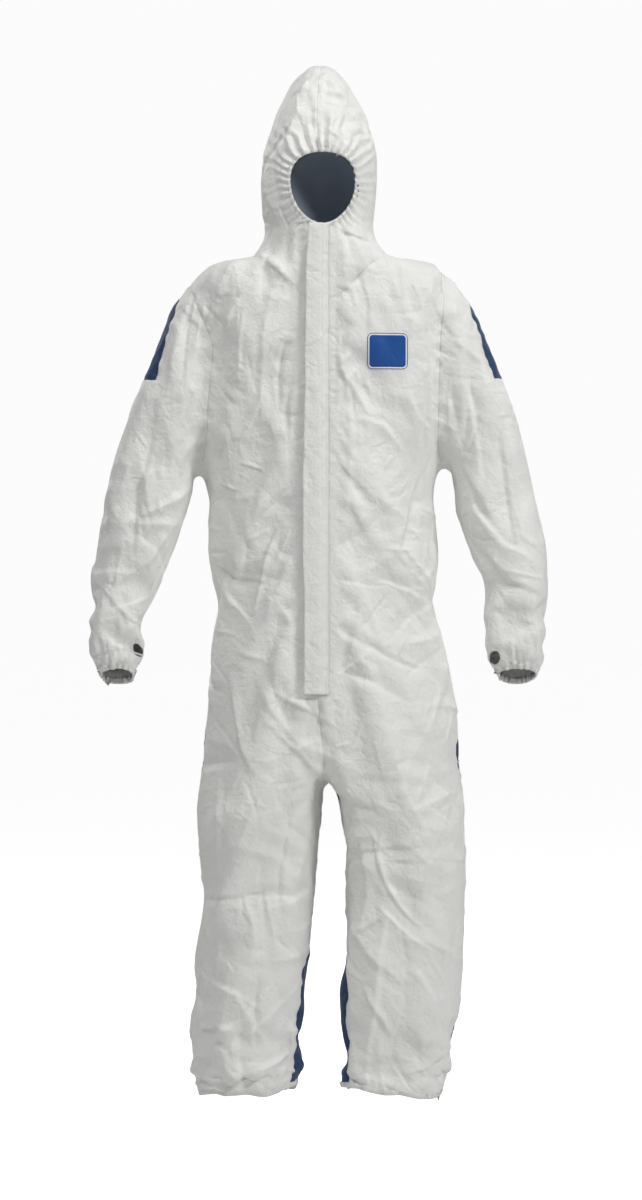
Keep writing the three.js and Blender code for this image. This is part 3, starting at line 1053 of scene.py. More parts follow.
@dataclass(frozen=True)
class Fold:
    """A crease that was pressed or hangs at one place on the front."""

    path: tuple[tuple[float, float], ...]  # x and height, both in millimetres
    width: float
    depth: float
    shape: Shape = Shape.RIDGE
    lean: float = 0.3  # how much narrower the fold is on its left, looking along it

    def lift(self, places: Array) -> Array:
        """How far the fold moves each place outwards, in metres.

        Args:
            places: One row per point, in metres.

        Returns:
            One lift per place.
        """
        flat = np.column_stack([places[:, 0] * 1000, heights(places)])
        line = np.array(self.path, float)
        legs = np.diff(line, axis=0)
        lengths = np.linalg.norm(legs, axis=1)
        run = np.concatenate([[0], np.cumsum(lengths)])
        best = np.full(len(flat), 1e9)
        along = np.zeros(len(flat))
        across = np.zeros(len(flat))
        for k, leg in enumerate(legs):
            away = flat - line[k]
            t = np.clip((away @ leg) / lengths[k] ** 2, 0, 1)
            rest = away - t[:, None] * leg
            gap = np.linalg.norm(rest, axis=1)
            closer = gap < best
            best = np.where(closer, gap, best)
            along = np.where(closer, (run[k] + t * lengths[k]) / run[-1], along)
            across = np.where(closer, np.sign(leg[0] * rest[:, 1] - leg[1] * rest[:, 0]), across)
        width = np.where(across > 0, self.width * self.lean, self.width)
        tent = np.clip(1 - best / width, 0, 1)
        taper = np.clip(4 * along * (1 - along) + 0.12, 0, 1) ** 0.7
        facing = places[:, 1] < 0.03
        return self.shape.value * self.depth / 1000 * tent ** 1.25 * taper * facing


FOLDS = (
    Fold(((-28, 1384), (-70, 1429), (-112, 1466)), 26, 5.0, Shape.RIDGE, 0.16),
    Fold(((-60, 1440), (-85, 1390), (-98, 1330)), 22, 4.5),
    Fold(((60, 1440), (78, 1380), (80, 1300)), 20, 3.5, Shape.VALLEY),
    Fold(((160, 1420), (176, 1370), (180, 1290), (176, 1200)), 22, 4.5),
    Fold(((-200, 1380), (-226, 1290), (-246, 1200), (-268, 1100)), 26, 5.5),
    Fold(((-300, 1150), (-322, 1050), (-330, 950)), 28, 6.0, Shape.VALLEY),
    Fold(((-255, 1010), (-300, 940), (-352, 900)), 24, 6.0),
    Fold(((-262, 960), (-310, 880), (-372, 850)), 22, 5.0, Shape.VALLEY),
    Fold(((240, 1290), (262, 1180), (276, 1080)), 26, 5.5),
    Fold(((305, 1160), (318, 1050), (330, 960)), 26, 5.5, Shape.VALLEY),
    Fold(((262, 1030), (310, 970), (360, 940)), 24, 5.5),
    Fold(((270, 960), (320, 900), (378, 880)), 22, 5.0, Shape.VALLEY),
    Fold(((-30, 1300), (-60, 1200), (-52, 1080)), 26, 4.0, Shape.VALLEY),
    Fold(((40, 1260), (54, 1140), (44, 1020)), 26, 4.0),
    Fold(((-190, 640), (-184, 500), (-196, 380)), 34, 5.5),
    Fold(((120, 640), (150, 540), (190, 470)), 30, 5.0),
    Fold(((-60, 500), (-80, 400), (-76, 300)), 28, 4.5, Shape.VALLEY),
    Fold(((-103, 1444), (-150, 1370), (-172, 1310)), 20, 4.5),
    Fold(((-130, 1362), (-138, 1310), (-142, 1256)), 16, 4.0),
    Fold(((-103, 1222), (-122, 1180), (-145, 1142)), 18, 4.5),
    Fold(((-77, 863), (-52, 828), (-33, 793)), 22, 4.0),
    Fold(((-192, 935), (-150, 905), (-95, 893)), 22, 4.5, Shape.VALLEY),
    Fold(((-190, 925), (-160, 868), (-120, 820)), 20, 3.5),
    Fold(((199, 873), (160, 893), (105, 905)), 24, 5.0, Shape.VALLEY),
    Fold(((199, 873), (168, 850), (130, 800)), 24, 4.5, Shape.VALLEY),
    Fold(((199, 880), (170, 915), (128, 960)), 20, 3.5),
    Fold(((10, 545), (-40, 600), (-95, 655)), 24, 4.0),
    Fold(((12, 540), (60, 522), (105, 505)), 20, 4.5, Shape.VALLEY),
    Fold(((12, 545), (50, 600), (80, 668)), 20, 3.0),
    Fold(((33, 452), (77, 434), (130, 441), (190, 446)), 18, 3.0, Shape.VALLEY),
    Fold(((120, 330), (110, 268), (100, 163), (86, 102), (79, 5)), 26, 6.5),
    Fold(((120, 330), (160, 290), (205, 262)), 22, 4.5),
    Fold(((120, 330), (75, 300), (52, 268)), 20, 4.0),
    Fold(((-212, 215), (-150, 190), (-95, 105)), 28, 5.5),
    Fold(((-88, 215), (-140, 150), (-222, 118)), 24, 4.5, Shape.VALLEY),
    Fold(((-224, 14), (-168, 40), (-130, 32)), 20, 4.0),
    Fold(((235, 102), (187, 58), (138, 32)), 20, 4.5),
    Fold(((-196, 1380), (-215, 1330), (-222, 1270)), 16, 3.5),
    Fold(((-222, 1395), (-236, 1320), (-246, 1250)), 15, 3.5, Shape.VALLEY),
    Fold(((225, 1400), (240, 1330), (255, 1265)), 15, 3.5),
    Fold(((35, 1501), (60, 1488), (86, 1482)), 12, 4.0, Shape.VALLEY),
    Fold(((150, 1230), (165, 1190), (196, 1160)), 18, 3.5),
    Fold(((60, 1180), (110, 1168), (150, 1120)), 18, 3.0),
)


@dataclass(frozen=True)
class Creases:
    """Short pressed creases scattered over the cloth, each sharp along its crest."""

    count: int = 380
    seed: int = 11
    longest: float = 0.23
    widest: float = 0.030
    deepest: float = 0.0068

    @staticmethod
    def _slope(place: Array, draw: np.random.Generator) -> float:
        """The angle from upright that a crease takes at a place, in radians.

        Args:
            place: The crease's middle, in metres.
            draw: The generator that every draw comes from.

        Returns:
            The angle.
        """
        height = place[2] * 1000 + ORIGIN_HEIGHT
        if on_arm(place[None])[0]:
            return draw.choice((0.5, -0.5)) + draw.normal(0, 0.4) + 0.35 * np.sign(place[0])
        if height > 1100:
            return draw.normal(0, 0.45)
        if height > 640:
            return draw.choice((0.9, -0.9)) + draw.normal(0, 0.45)
        return draw.choice((0.25, 1.1, -1.1)) + draw.normal(0, 0.4)

    def lift(self, places: Array, out: Array) -> Array:
        """How far the creases move each place outwards, in metres.

        Args:
            places: Where each vertex began.
            out: The outward direction at each vertex.

        Returns:
            One lift per vertex.
        """
        draw = np.random.default_rng(self.seed)
        total = np.zeros(len(places))
        for _ in range(self.count):
            middle = draw.integers(len(places))
            centre, normal = places[middle], out[middle]
            angle = self._slope(centre, draw)
            up = np.array([0, 0, 1.0]) - normal * normal[2]
            up /= max(np.linalg.norm(up), 1e-6)
            aside = np.cross(normal, up)
            along = up * math.cos(angle) + aside * math.sin(angle)
            across = np.cross(normal, along)
            length = self.longest * draw.uniform(0.3, 1)
            width = self.widest * draw.uniform(0.3, 1)
            depth = self.deepest * draw.uniform(0.25, 1) * (1 if draw.random() < 0.6 else -1)
            bend = draw.normal(0, 1.1)
            lean = draw.uniform(0.25, 0.9)
            rows = np.flatnonzero(np.abs(places - centre).max(axis=1) < length / 2 + width)
            away = places[rows] - centre
            u = away @ along
            v = away @ across - bend * u ** 2
            side = np.where(v > 0, width * lean, width)
            tent = np.clip(1 - np.abs(v) / side, 0, 1)
            taper = np.clip(1 - (2 * u / length) ** 2, 0, 1)
            total[rows] += depth * tent ** 1.3 * taper * (np.abs(away @ normal) < 0.05)
        return total


@dataclass(frozen=True)
class Gather:
    """Small pleats where elastic draws the cloth in."""

    turn: Field  # the angle round the opening, in radians
    gap: Field  # the distance from the edge, in metres
    reach: Field  # how far the pleats run, in metres
    pleats: int
    depth: float
    seed: float

    def lift(self, places: Array) -> Array:
        """How far the pleats move each place outwards, in metres.

        Args:
            places: One row per point, in metres.

        Returns:
            One lift per place.
        """
        gap = self.gap(places)
        near = np.exp(-np.maximum(gap, 0) / self.reach(places)) * (gap < 4 * self.reach(places))
        lift = np.zeros(len(places))
        rows = np.flatnonzero(near > 0.02)
        if not len(rows):
            return lift
        here = places[rows]
        wander = 1.6 * grain(here, 0.035, self.seed)
        phase = self.pleats * self.turn(here) + wander * 2.4
        wave = np.abs(((phase / math.pi) % 2) - 1) * 2 - 1
        size = 0.65 + 1.3 * np.abs(grain(here, 0.05, self.seed + 3))
        lift[rows] = self.depth * near[rows] * wave * size
        return lift


def gathers() -> list[Gather]:
    """The gathers at the face, the cuffs, the ankles and the back of the waist.

    Returns:
        Every gather of the suit.
    """
    found = [Gather(
        lambda p: np.arctan2(above(p, FACE_CENTRE[1]), p[:, 0] - FACE_CENTRE[0]),
        lambda p: face_gap(p) + (p[:, 1] > -0.01) * FAR,
        lambda p: 0.018 + 0.040 * ramp(heights(p), 1600, 1650), 34, 0.0038, 1.0,
    )]
    for side in Side:
        out = side.value
        found.append(Gather(
            lambda p, x=CUFF_X * out: np.arctan2(p[:, 1] - CUFF_Y, p[:, 0] - x),
            lambda p, out=out: above(p, cuff_height(p))
            + ~(on_arm(p) & (p[:, 0] * out > 0)) * FAR,
            lambda p: np.full(len(p), 0.026), 22, 0.0026, 4.0 + out,
        ))
        found.append(Gather(
            lambda p: np.arctan2(p[:, 1], p[:, 0] - leg_middle(p)),
            lambda p, out=out: above(p, hem_height(p))
            + ~((p[:, 0] - CROTCH_X) * out > 0) * FAR + on_arm(p) * FAR,
            lambda p: np.full(len(p), 0.026), 15, 0.0016, 7.0 + out,
        ))
    found.append(Gather(
        lambda p: p[:, 0] * 12,
        lambda p: np.abs(above(p, WAIST_HEIGHT)) + (p[:, 1] < 0.02) * FAR + on_arm(p) * FAR,
        lambda p: np.full(len(p), 0.030), 24, 0.0026, 11.0,
    ))
    return found


@dataclass
class Relief:
    """Folds, crumples, gathers and seams, raised from the hung cloth."""

    lines: list[Line]
    creases: tuple[Creases, ...] = (
        Creases(), Creases(520, 12, 0.10, 0.012, 0.0030),
    )
    groove: float = 0.0014
    groove_width: float = 0.0035

    def seam_gap(self, places: Array) -> Array:
        """The distance of each place from the nearest sewn seam, in metres.

        Args:
            places: One row per point, in metres.

        Returns:
            One distance per place.
        """
        gap = np.full(len(places), PLAIN_GAP)
        for line in self.lines:
            if line.sewn:
                within = line.within(places)
                gap[within] = np.minimum(gap[within], np.abs(line.value(places[within])))
        return gap

    @staticmethod
    def calm(places: Array) -> Array:
        """How much of the crumpling each place takes: less under the flap and the label.

        Args:
            places: One row per point, in metres.

        Returns:
            One share per place, from 0 to 1.
        """
        height = heights(places)
        strip = 1 - ramp(np.abs(places[:, 0] + 0.008), 0.03, 0.05)
        strip *= (places[:, 1] < -0.05) * (height > 690) * (height < 1515)
        beside = places[:, 0] - LABEL_CENTRE[0]
        label = 1 - ramp(np.hypot(beside, above(places, LABEL_CENTRE[1])), 0.04, 0.07)
        label *= places[:, 1] < 0
        return 1 - np.maximum(0.92 * strip, 0.7 * label)

    @staticmethod
    def crumple(places: Array) -> Array:
        """Soft fields that meet in creases, at three sizes.

        Args:
            places: One row per point, in metres.

        Returns:
            One lift per place, in metres.
        """
        height = heights(places)
        hood = ramp(height, 1470, 1520)
        limb = np.maximum(on_arm(places), 1 - ramp(height, 480, 600))
        broad = np.abs(grain(places, 0.17, 1, (1, 1, 1.9))) - 0.2
        middle = np.abs(grain(places, 0.09, 2, (1, 1, 1.5))) - 0.2
        small = np.abs(grain(places, 0.036, 3)) - 0.2
        patch = 1.6 * ramp(grain(places, 0.19, 5), -0.1, 0.4)
        size = (1 + 0.4 * limb) * (1 - 0.5 * hood)
        return size * (0.013 * broad - 0.006 * middle + 0.0022 * patch * small)

    def puckers(self, places: Array, gap: Array) -> Array:
        """Small waves that a line of stitches draws up beside itself.

        Args:
            places: One row per point, in metres.
            gap: The distance of each place from the nearest seam, in metres.

        Returns:
            One lift per place, in metres.
        """
        rows = np.flatnonzero(gap < 0.022)
        lift = np.zeros(len(places))
        lift[rows] = 0.0055 * grain(places[rows], 0.017, 6) * np.exp(-gap[rows] / 0.008)
        return lift

    def lift(self, places: Array, out: Array) -> Array:
        """How far each place stands out from the hung cloth, in metres.

        Args:
            places: Where each vertex began.
            out: The outward direction at each vertex.

        Returns:
            One lift per vertex.
        """
        gap = self.seam_gap(places)
        rims = ramp(face_gap(places) + (places[:, 1] > 0) * FAR, 0, 0.05)
        facing = 0.45 + 0.55 * ramp(np.abs(out[:, 1]), 0.1, 0.6)
        for side in Side:
            past = oval(places, *THUMB_HOLES[side]) + (places[:, 1] > 0) * FAR
            facing *= 0.2 + 0.8 * ramp(past, 0, 0.02)
        sewn = 0.35 + 0.65 * ramp(gap, 0.002, 0.025)
        total = self.crumple(places) + sum(c.lift(places, out) for c in self.creases)
        total *= (0.3 + 0.7 * rims) * facing * sewn
        for fold in FOLDS:
            total += fold.lift(places)
        total = total * self.calm(places) + self.puckers(places, gap) * self.calm(places)
        for gather in gathers():
            total += gather.lift(places)
        return total - self.groove * np.exp(-((gap / self.groove_width) ** 2))


# ---------------------------------------------------------------- finishes


class Nodes:
    """Builds shader nodes in one tree, and links them."""

    def __init__(self, tree: bpy.types.NodeTree) -> None:
        """Starts with an empty tree."""
        self.tree = tree
        tree.nodes.clear()

    def add(self, kind: str, **settings: object) -> bpy.types.Node:
        """A node of a kind, with its settings, and with values for its inputs by name.

        Args:
            kind: The node's type without its first word.
            **settings: Its settings, and its inputs' values by name.

        Returns:
            The new node.
        """
        made = self.tree.nodes.new("ShaderNode" + kind if not kind.startswith("Node") else kind)
        for key, value in settings.items():
            if hasattr(made, key):
                setattr(made, key, value)
            else:
                made.inputs[key.replace("_", " ").title()].default_value = value
        return made

    def link(self, source: bpy.types.NodeSocket, target: bpy.types.NodeSocket) -> None:
        """Joins an output to an input."""
        self.tree.links.new(source, target)

    def maths(self, operation: str, a: Value, b: Value = 0.0, clamp: bool = False) -> Value:
        """The output of a maths node whose inputs are numbers or sockets.

        Args:
            operation: What the node does.
            a: The first input.
            b: The second input.
            clamp: Whether the result stays from 0 to 1.

        Returns:
            The node's output.
        """
        made = self.add("Math", operation=operation, use_clamp=clamp)
        for place, given in enumerate((a, b)):
            if isinstance(given, bpy.types.NodeSocket):
                self.link(given, made.inputs[place])
            else:
                made.inputs[place].default_value = given
        return made.outputs[0]


def new_group(
    name: str, inputs: dict[str, str], outputs: dict[str, str]
) -> tuple[bpy.types.NodeTree, Nodes, bpy.types.Node, bpy.types.Node]:
    """A node group with named inputs and outputs.

    Args:
        name: The group's name.
        inputs: The socket type of each input by name.
        outputs: The socket type of each output by name.

    Returns:
        The group, its builder, its input node and its output node.
    """
    tree = bpy.data.node_groups.new(name, "ShaderNodeTree")
    for key, kind in inputs.items():
        tree.interface.new_socket(name=key, in_out="INPUT", socket_type="NodeSocket" + kind)
    for key, kind in outputs.items():
        tree.interface.new_socket(name=key, in_out="OUTPUT", socket_type="NodeSocket" + kind)
    nodes = Nodes(tree)
    return tree, nodes, nodes.add("NodeGroupInput"), nodes.add("NodeGroupOutput")


def fibre_group() -> bpy.types.NodeTree:
    """Swirled flash-spun fibres: a fine height and a mask of denser webs.

    Returns:
        The node group.
    """
    tree, n, given, made = new_group(
        "fibre_swirl", {"Place": "Vector", "Scale": "Float"}, {"Height": "Float", "Web": "Float"}
    )
    warp = n.add("TexNoise", scale=38.0, detail=2.0)
    n.link(given.outputs["Place"], warp.inputs["Vector"])
    push = n.add("VectorMath", operation="MULTIPLY_ADD")
    push.inputs[1].default_value = (0.035, 0.035, 0.035)
    n.link(warp.outputs["Color"], push.inputs[0])
    n.link(given.outputs["Place"], push.inputs[2])
    web = n.add("TexNoise", detail=5.0, roughness=0.62, distortion=1.4)
    n.link(push.outputs[0], web.inputs["Vector"])
    n.link(given.outputs["Scale"], web.inputs["Scale"])
    thin = n.maths("ABSOLUTE", n.maths("SUBTRACT", web.outputs["Fac"], 0.5))
    n.link(n.maths("SUBTRACT", 1.0, n.maths("MULTIPLY", thin, 5.0, True)), made.inputs["Height"])
    n.link(web.outputs["Fac"], made.inputs["Web"])
    return tree


def crumple_group() -> bpy.types.NodeTree:
    """Fine creases that meet at corners, as in handled paper-like cloth.

    Returns:
        The node group.
    """
    tree, n, given, made = new_group(
        "fine_crumple", {"Place": "Vector", "Scale": "Float"}, {"Height": "Float"}
    )
    total: Value = 0.0
    for number, (factor, share) in enumerate(((1.0, 1.0), (2.3, 0.5), (5.1, 0.26))):
        shift = n.add("VectorMath", operation="ADD")
        shift.inputs[1].default_value = (number * 3.1, number * 1.7, number * 2.3)
        n.link(given.outputs["Place"], shift.inputs[0])
        field_node = n.add("TexNoise", detail=1.0, roughness=0.5, distortion=0.35)
        n.link(shift.outputs[0], field_node.inputs["Vector"])
        n.link(n.maths("MULTIPLY", given.outputs["Scale"], factor), field_node.inputs["Scale"])
        fold = n.maths("ABSOLUTE", n.maths("SUBTRACT", field_node.outputs["Fac"], 0.5))
        total = n.maths("ADD", n.maths("MULTIPLY", fold, share), total)
    n.link(total, made.inputs["Height"])
    return tree


def seam_group() -> bpy.types.NodeTree:
    """A sewn seam: a painted shade line along its join, with a row of stitches beside it.

    Returns:
        The node group.
    """
    tree, n, given, made = new_group(
        "sewn_seam", {"Gap": "Float", "Place": "Vector"}, {"Join": "Float", "Stitch": "Float"}
    )
    # the painted shade along the join, fading out over 1.6 mm
    join = n.add("MapRange", interpolation_type="SMOOTHSTEP")
    for key, value in zip(("From Min", "From Max", "To Min", "To Max"), (0.0003, 0.0016, 1, 0)):
        join.inputs[key].default_value = value
    n.link(given.outputs["Gap"], join.inputs["Value"])
    row = n.maths("ABSOLUTE", n.maths("SUBTRACT", given.outputs["Gap"], 0.0045))
    on_row = n.maths("LESS_THAN", row, 0.00045)
    parts = n.add("SeparateXYZ")
    n.link(given.outputs["Place"], parts.inputs[0])
    run = n.maths("ADD", parts.outputs[2], n.maths("MULTIPLY", parts.outputs[0], 0.6))
    beat = n.maths("FRACT", n.maths("MULTIPLY", run, 290.0))
    n.link(join.outputs[0], made.inputs["Join"])
    n.link(n.maths("MULTIPLY", on_row, n.maths("LESS_THAN", beat, 0.62)), made.inputs["Stitch"])
    return tree


@dataclass
class Groups:
    """The effects that more than one finish uses."""

    fibre: bpy.types.NodeTree = field(default_factory=fibre_group)
    crumple: bpy.types.NodeTree = field(default_factory=crumple_group)
    seam: bpy.types.NodeTree = field(default_factory=seam_group)


@dataclass(frozen=True)
class Finish:
    """A procedural material for one kind of cloth or plastic."""

    name: str
    colour: tuple[float, float, float]
    # the colour of back faces: mostly a darker copy of the cloth's colour, painted shade for the
    # insides seen through openings
    inner: tuple[float, float, float]
    roughness: float
    web: float = 0.05  # how much the fibres darken the colour
    fibre_scale: float = 260.0
    crease: float = 0.0  # the depth of the fine creases, in metres
    crease_scale: float = 24.0
    join: float = 0.0  # how dark the painted shade along a seam's join is; its stitch row takes 0.45 of it
    sheen: float = 0.0
    fibre_depth: float = 0.00003  # metres
    stitch_depth: float = 0.00025
    patchiness: float = 0.16  # how far the roughness varies with the fibres

    def build(self, groups: Groups) -> bpy.types.Material:
        """Makes the material from the shared groups.

        Args:
            groups: The shared node groups.

        Returns:
            The material.
        """
        material = bpy.data.materials.new(self.name)
        material.use_nodes = True
        n = Nodes(material.node_tree)
        out = n.add("OutputMaterial")
        skin = n.add("BsdfPrincipled")
        skin.inputs["Sheen Weight"].default_value = self.sheen
        skin.inputs["Specular IOR Level"].default_value = 0.35
        place = n.add("Attribute", attribute_name="cloth_place")
        gap = n.add("Attribute", attribute_name="seam_gap")
        fibre = n.add("Group", node_tree=groups.fibre)
        n.link(place.outputs["Vector"], fibre.inputs["Place"])
        fibre.inputs["Scale"].default_value = self.fibre_scale
        crumple = n.add("Group", node_tree=groups.crumple)
        n.link(place.outputs["Vector"], crumple.inputs["Place"])
        crumple.inputs["Scale"].default_value = self.crease_scale
        seam = n.add("Group", node_tree=groups.seam)
        n.link(place.outputs["Vector"], seam.inputs["Place"])
        n.link(gap.outputs["Fac"], seam.inputs["Gap"])
        tone = n.add("Mix", data_type="RGBA", blend_type="MIX")
        tone.inputs["A"].default_value = (*self.colour, 1)
        dark = [c * (1 - 2.2 * self.web) for c in self.colour]
        tone.inputs["B"].default_value = (*dark, 1)
        n.link(fibre.outputs["Web"], tone.inputs["Factor"])
        # painted shade: darkens the cloth along each seam's join, and more faintly along its stitch row
        sewn = n.add("Mix", data_type="RGBA", blend_type="MULTIPLY")
        sewn.inputs["B"].default_value = (0.5, 0.5, 0.52, 1)
        n.link(tone.outputs["Result"], sewn.inputs["A"])
        marks = n.maths("ADD", n.maths("MULTIPLY", seam.outputs["Join"], self.join),
                        n.maths("MULTIPLY", seam.outputs["Stitch"], self.join * 0.45), True)
        n.link(marks, sewn.inputs["Factor"])
        # back faces take the inner colour: painted shade on the inside of the cloth
        facing = n.add("NewGeometry")
        both = n.add("Mix", data_type="RGBA")
        both.inputs["B"].default_value = (*self.inner, 1)
        n.link(sewn.outputs["Result"], both.inputs["A"])
        n.link(facing.outputs["Backfacing"], both.inputs["Factor"])
        n.link(both.outputs["Result"], skin.inputs["Base Color"])
        patchy = n.maths("MULTIPLY", fibre.outputs["Web"], self.patchiness)
        rough = n.maths("ADD", patchy, self.roughness - self.patchiness / 2)
        n.link(rough, skin.inputs["Roughness"])
        height = n.maths("ADD", n.maths("MULTIPLY", fibre.outputs["Height"], self.fibre_depth),
                         n.maths("MULTIPLY", crumple.outputs["Height"], self.crease))
        height = n.maths("ADD", height, n.maths("MULTIPLY", seam.outputs["Stitch"], self.stitch_depth))
        bump = n.add("Bump")
        bump.inputs["Distance"].default_value = 1.0
        bump.inputs["Strength"].default_value = 1.0
        n.link(height, bump.inputs["Height"])
        n.link(bump.outputs["Normal"], skin.inputs["Normal"])
        n.link(skin.outputs[0], out.inputs["Surface"])
        return material


# each finish's second colour is for back faces: mostly a darker copy of the first, painted shade for
# insides
FINISHES = {
    "white": Finish("white_nonwoven", (0.80, 0.80, 0.775), (0.55, 0.55, 0.53), 0.56, 0.035,
                    crease=0.0052, join=0.32, sheen=0.05),
    "navy": Finish("navy_nonwoven", (0.020, 0.052, 0.135), (0.03, 0.06, 0.13), 0.7, 0.12,
                   crease=0.006, join=0.4, sheen=0.1),
    "elastic": Finish("elastic_hem", (0.74, 0.74, 0.715), (0.5, 0.5, 0.48), 0.6, 0.05,
                      crease=0.004, crease_scale=60),
    "plastic": Finish("zip_plastic", (0.72, 0.72, 0.71), (0.6, 0.6, 0.6), 0.38, 0.02),
    "tape": Finish("zip_tape", (0.70, 0.70, 0.68), (0.5, 0.5, 0.5), 0.75, 0.08, 900.0),
    "thread": Finish("sewing_thread", (0.76, 0.76, 0.74), (0.6, 0.6, 0.6), 0.6, 0.05),
    "label": Finish("label_film", (0.008, 0.075, 0.30), (0.4, 0.4, 0.4), 0.42, 0.03, crease=0.002),
    "label_edge": Finish("label_edge", (0.82, 0.82, 0.80), (0.6, 0.6, 0.6), 0.45, 0.03),
    # painted shade: a dark slate colour for the bowl that stands for the shadowed inside of the hood
    "painted_hood_shade": Finish("hood_painted_shade", (0.23, 0.265, 0.32), (0.23, 0.265, 0.32), 0.5, 0.04),
}


# ---------------------------------------------------------------- pieces


@dataclass
class Wardrobe:
    """Makes and dresses every piece from the finished skin."""

    skin: Surface
    relief: Relief
    materials: dict[str, bpy.types.Material]
    flap_room: float = 0.0024
    final: Array = field(default_factory=lambda: np.zeros((0, 3)))
    normals: Array = field(default_factory=lambda: np.zeros((0, 3)))
    gap: Array = field(default_factory=lambda: np.zeros(0))
    tree: BVHTree | None = None

    def raise_relief(self) -> None:
        """Moves the skin out by its relief, and keeps its directions for every piece."""
        out = self.skin.normals()
        lift = self.relief.lift(self.skin.base, out)
        self.final = self.skin.hung + out * lift[:, None]
        seat = front_line(heights(self.final)) + self.flap_room
        self.final[:, 1] += flap_seat(self.final) * np.maximum(seat - self.final[:, 1], 0)
        done = Surface(np.hstack([self.skin.base, self.final]), self.skin.triangles)
        self.normals = done.normals()
        self.gap = self.relief.seam_gap(self.skin.base)
        self.tree = BVHTree.FromPolygons(self.final.tolist(), self.skin.triangles.tolist())

    def dress(self, obj: bpy.types.Object, places: Array, gap: Array, finish: str) -> None:
        """Gives a piece its material and the values that the material reads.

        Args:
            obj: The piece.
            places: Where the cloth began, one row per vertex, in metres.
            gap: The distance of each place from the nearest seam, in metres.
            finish: The finish's name in FINISHES.
        """
        mesh = obj.data
        spot = mesh.attributes.new("cloth_place", "FLOAT_VECTOR", "POINT")
        spot.data.foreach_set("vector", places.astype(np.float32).ravel())
        seam = mesh.attributes.new("seam_gap", "FLOAT", "POINT")
        seam.data.foreach_set("value", gap.astype(np.float32))
        mesh.materials.append(self.materials[finish])

    def plain(self, obj: bpy.types.Object, points: Array, finish: str) -> None:
        """Gives a piece without seams its finish."""
        self.dress(obj, points, np.full(len(points), PLAIN_GAP), finish)

    def panel(self, panel: Panel, chosen: Array) -> None:
        """Makes one sewn piece from its triangles.

        Args:
            panel: The piece to make.
            chosen: The triangles that it is made of.
        """
        used, numbers = np.unique(self.skin.triangles[chosen], return_inverse=True)
        obj = new_object(panel.name, self.final[used], numbers.reshape(-1, 3).tolist())
        obj.data.normals_split_custom_set_from_vertices(self.normals[used].tolist())
        finish = "navy" if panel.cloth is Cloth.NAVY else "white"
        self.dress(obj, self.skin.base[used], self.gap[used], finish)
        panel.attach(obj)
        LOG.info("%s: %d vertices", panel.name, len(used))

    def panels(self) -> None:
        """Makes every sewn piece."""
        centres = self.skin.centres()
        left = np.ones(len(centres), bool)
        wanted = [p for side in Side
                  for p in trunk_panels(side) + arm_panels(side) + leg_panels(side)]
        for panel in wanted:
            chosen = panel.where(centres) & left
            left &= ~chosen
            self.panel(panel, chosen)
        LOG.info("triangles in no panel: %d", left.sum())

    def front(self, x: float, z: float) -> Vector:
        """The place on the front of the suit at x and z."""
        hit = self.tree.ray_cast(Vector((x, -1, z)), Vector((0, 1, 0)))
        return hit[0] if hit[0] is not None else Vector((x, -0.1, z))

    def rim_loops(self) -> list[Array]:
        """The free edges of the skin, as ordered vertex numbers.

        Returns:
            One array of vertex numbers per edge.
        """
        edges = self.skin.triangles[:, [0, 1, 1, 2, 2, 0]].reshape(-1, 2)
        keys = np.sort(edges, axis=1)
        _, first, count = np.unique(keys, axis=0, return_index=True, return_counts=True)
        following = {int(a): int(b) for a, b in edges[first[count == 1]]}
        loops = []
        while following:
            start, at = following.popitem()
            run = [start]
            while at != start and at in following:
                run.append(at)
                at = following.pop(at)
            if len(run) > 12:
                loops.append(np.array(run))
        return loops


@dataclass(frozen=True)
class RimBand:
    """A turned and stitched edge round an opening, with the elastic inside it."""

    name: str
    centre: tuple[float, float, float]
    width: float
    body: str
    stands_for: tuple[str, ...] = ()
    count: int = 220
    bulge: float = 0.0012
    finish: str = "elastic"
    slot: str = "elastic"

    def build(self, wardrobe: Wardrobe, loop: Array) -> None:
        """Sweeps the band's section round the free edge.

        Args:
            wardrobe: The finished skin, with its materials.
            loop: The free edge, as ordered vertex numbers.
        """
        points, out = wardrobe.final[loop], wardrobe.normals[loop]
        steps = np.linalg.norm(np.diff(np.vstack([points, points[:1]]), axis=0), axis=1)
        run = np.concatenate([[0], np.cumsum(steps)])
        at = np.linspace(0, run[-1], self.count, endpoint=False)

        def even(values: Array) -> Array:
            """Values along the loop at even steps, averaged with their neighbours.

            Args:
                values: One row per vertex of the loop.

            Returns:
                One row per ring of the band.
            """
            closed = np.vstack([values, values[:1]])
            picked = np.column_stack([np.interp(at, run, closed[:, k]) for k in range(3)])
            return (np.roll(picked, 1, 0) + 2 * picked + np.roll(picked, -1, 0)) / 4

        points, out = even(points), even(out)
        along = np.roll(points, -1, 0) - np.roll(points, 1, 0)
        inward = np.cross(along, out)
        inward /= np.linalg.norm(inward, axis=1, keepdims=True)
        away = np.sum(inward * (points - np.array(self.centre)), axis=1).mean()
        inward *= 1 if away > 0 else -1
        w, b = self.width, self.bulge
        section = ((w, 0.0003), (w * 0.9, b * 0.5), (w * 0.5, b), (w * 0.15, b), (-0.0008, b * 0.4),
                   (-0.0008, -b * 0.6), (w * 0.15, -b * 1.4), (w * 0.6, -b * 1.4), (w, -b))
        rows = [points + inward * a + out * c for a, c in section]
        rings = [np.array([row[k] for row in rows]) for k in range(self.count)]
        flat, faces = tube(rings, capped=False)
        size = len(section)
        last = (self.count - 1) * size
        faces += [(last + k, last + (k + 1) % size, (k + 1) % size, k) for k in range(size)]
        obj = new_object(self.name, flat, faces)
        gap = np.tile([abs(a - w * 0.75) + 0.004 for a, _ in section], self.count)
        wardrobe.dress(obj, flat, gap, self.finish)
        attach(obj, self.body)
        if self.stands_for:
            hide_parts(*self.stands_for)
        LOG.info("%s: %d rings", self.name, self.count)


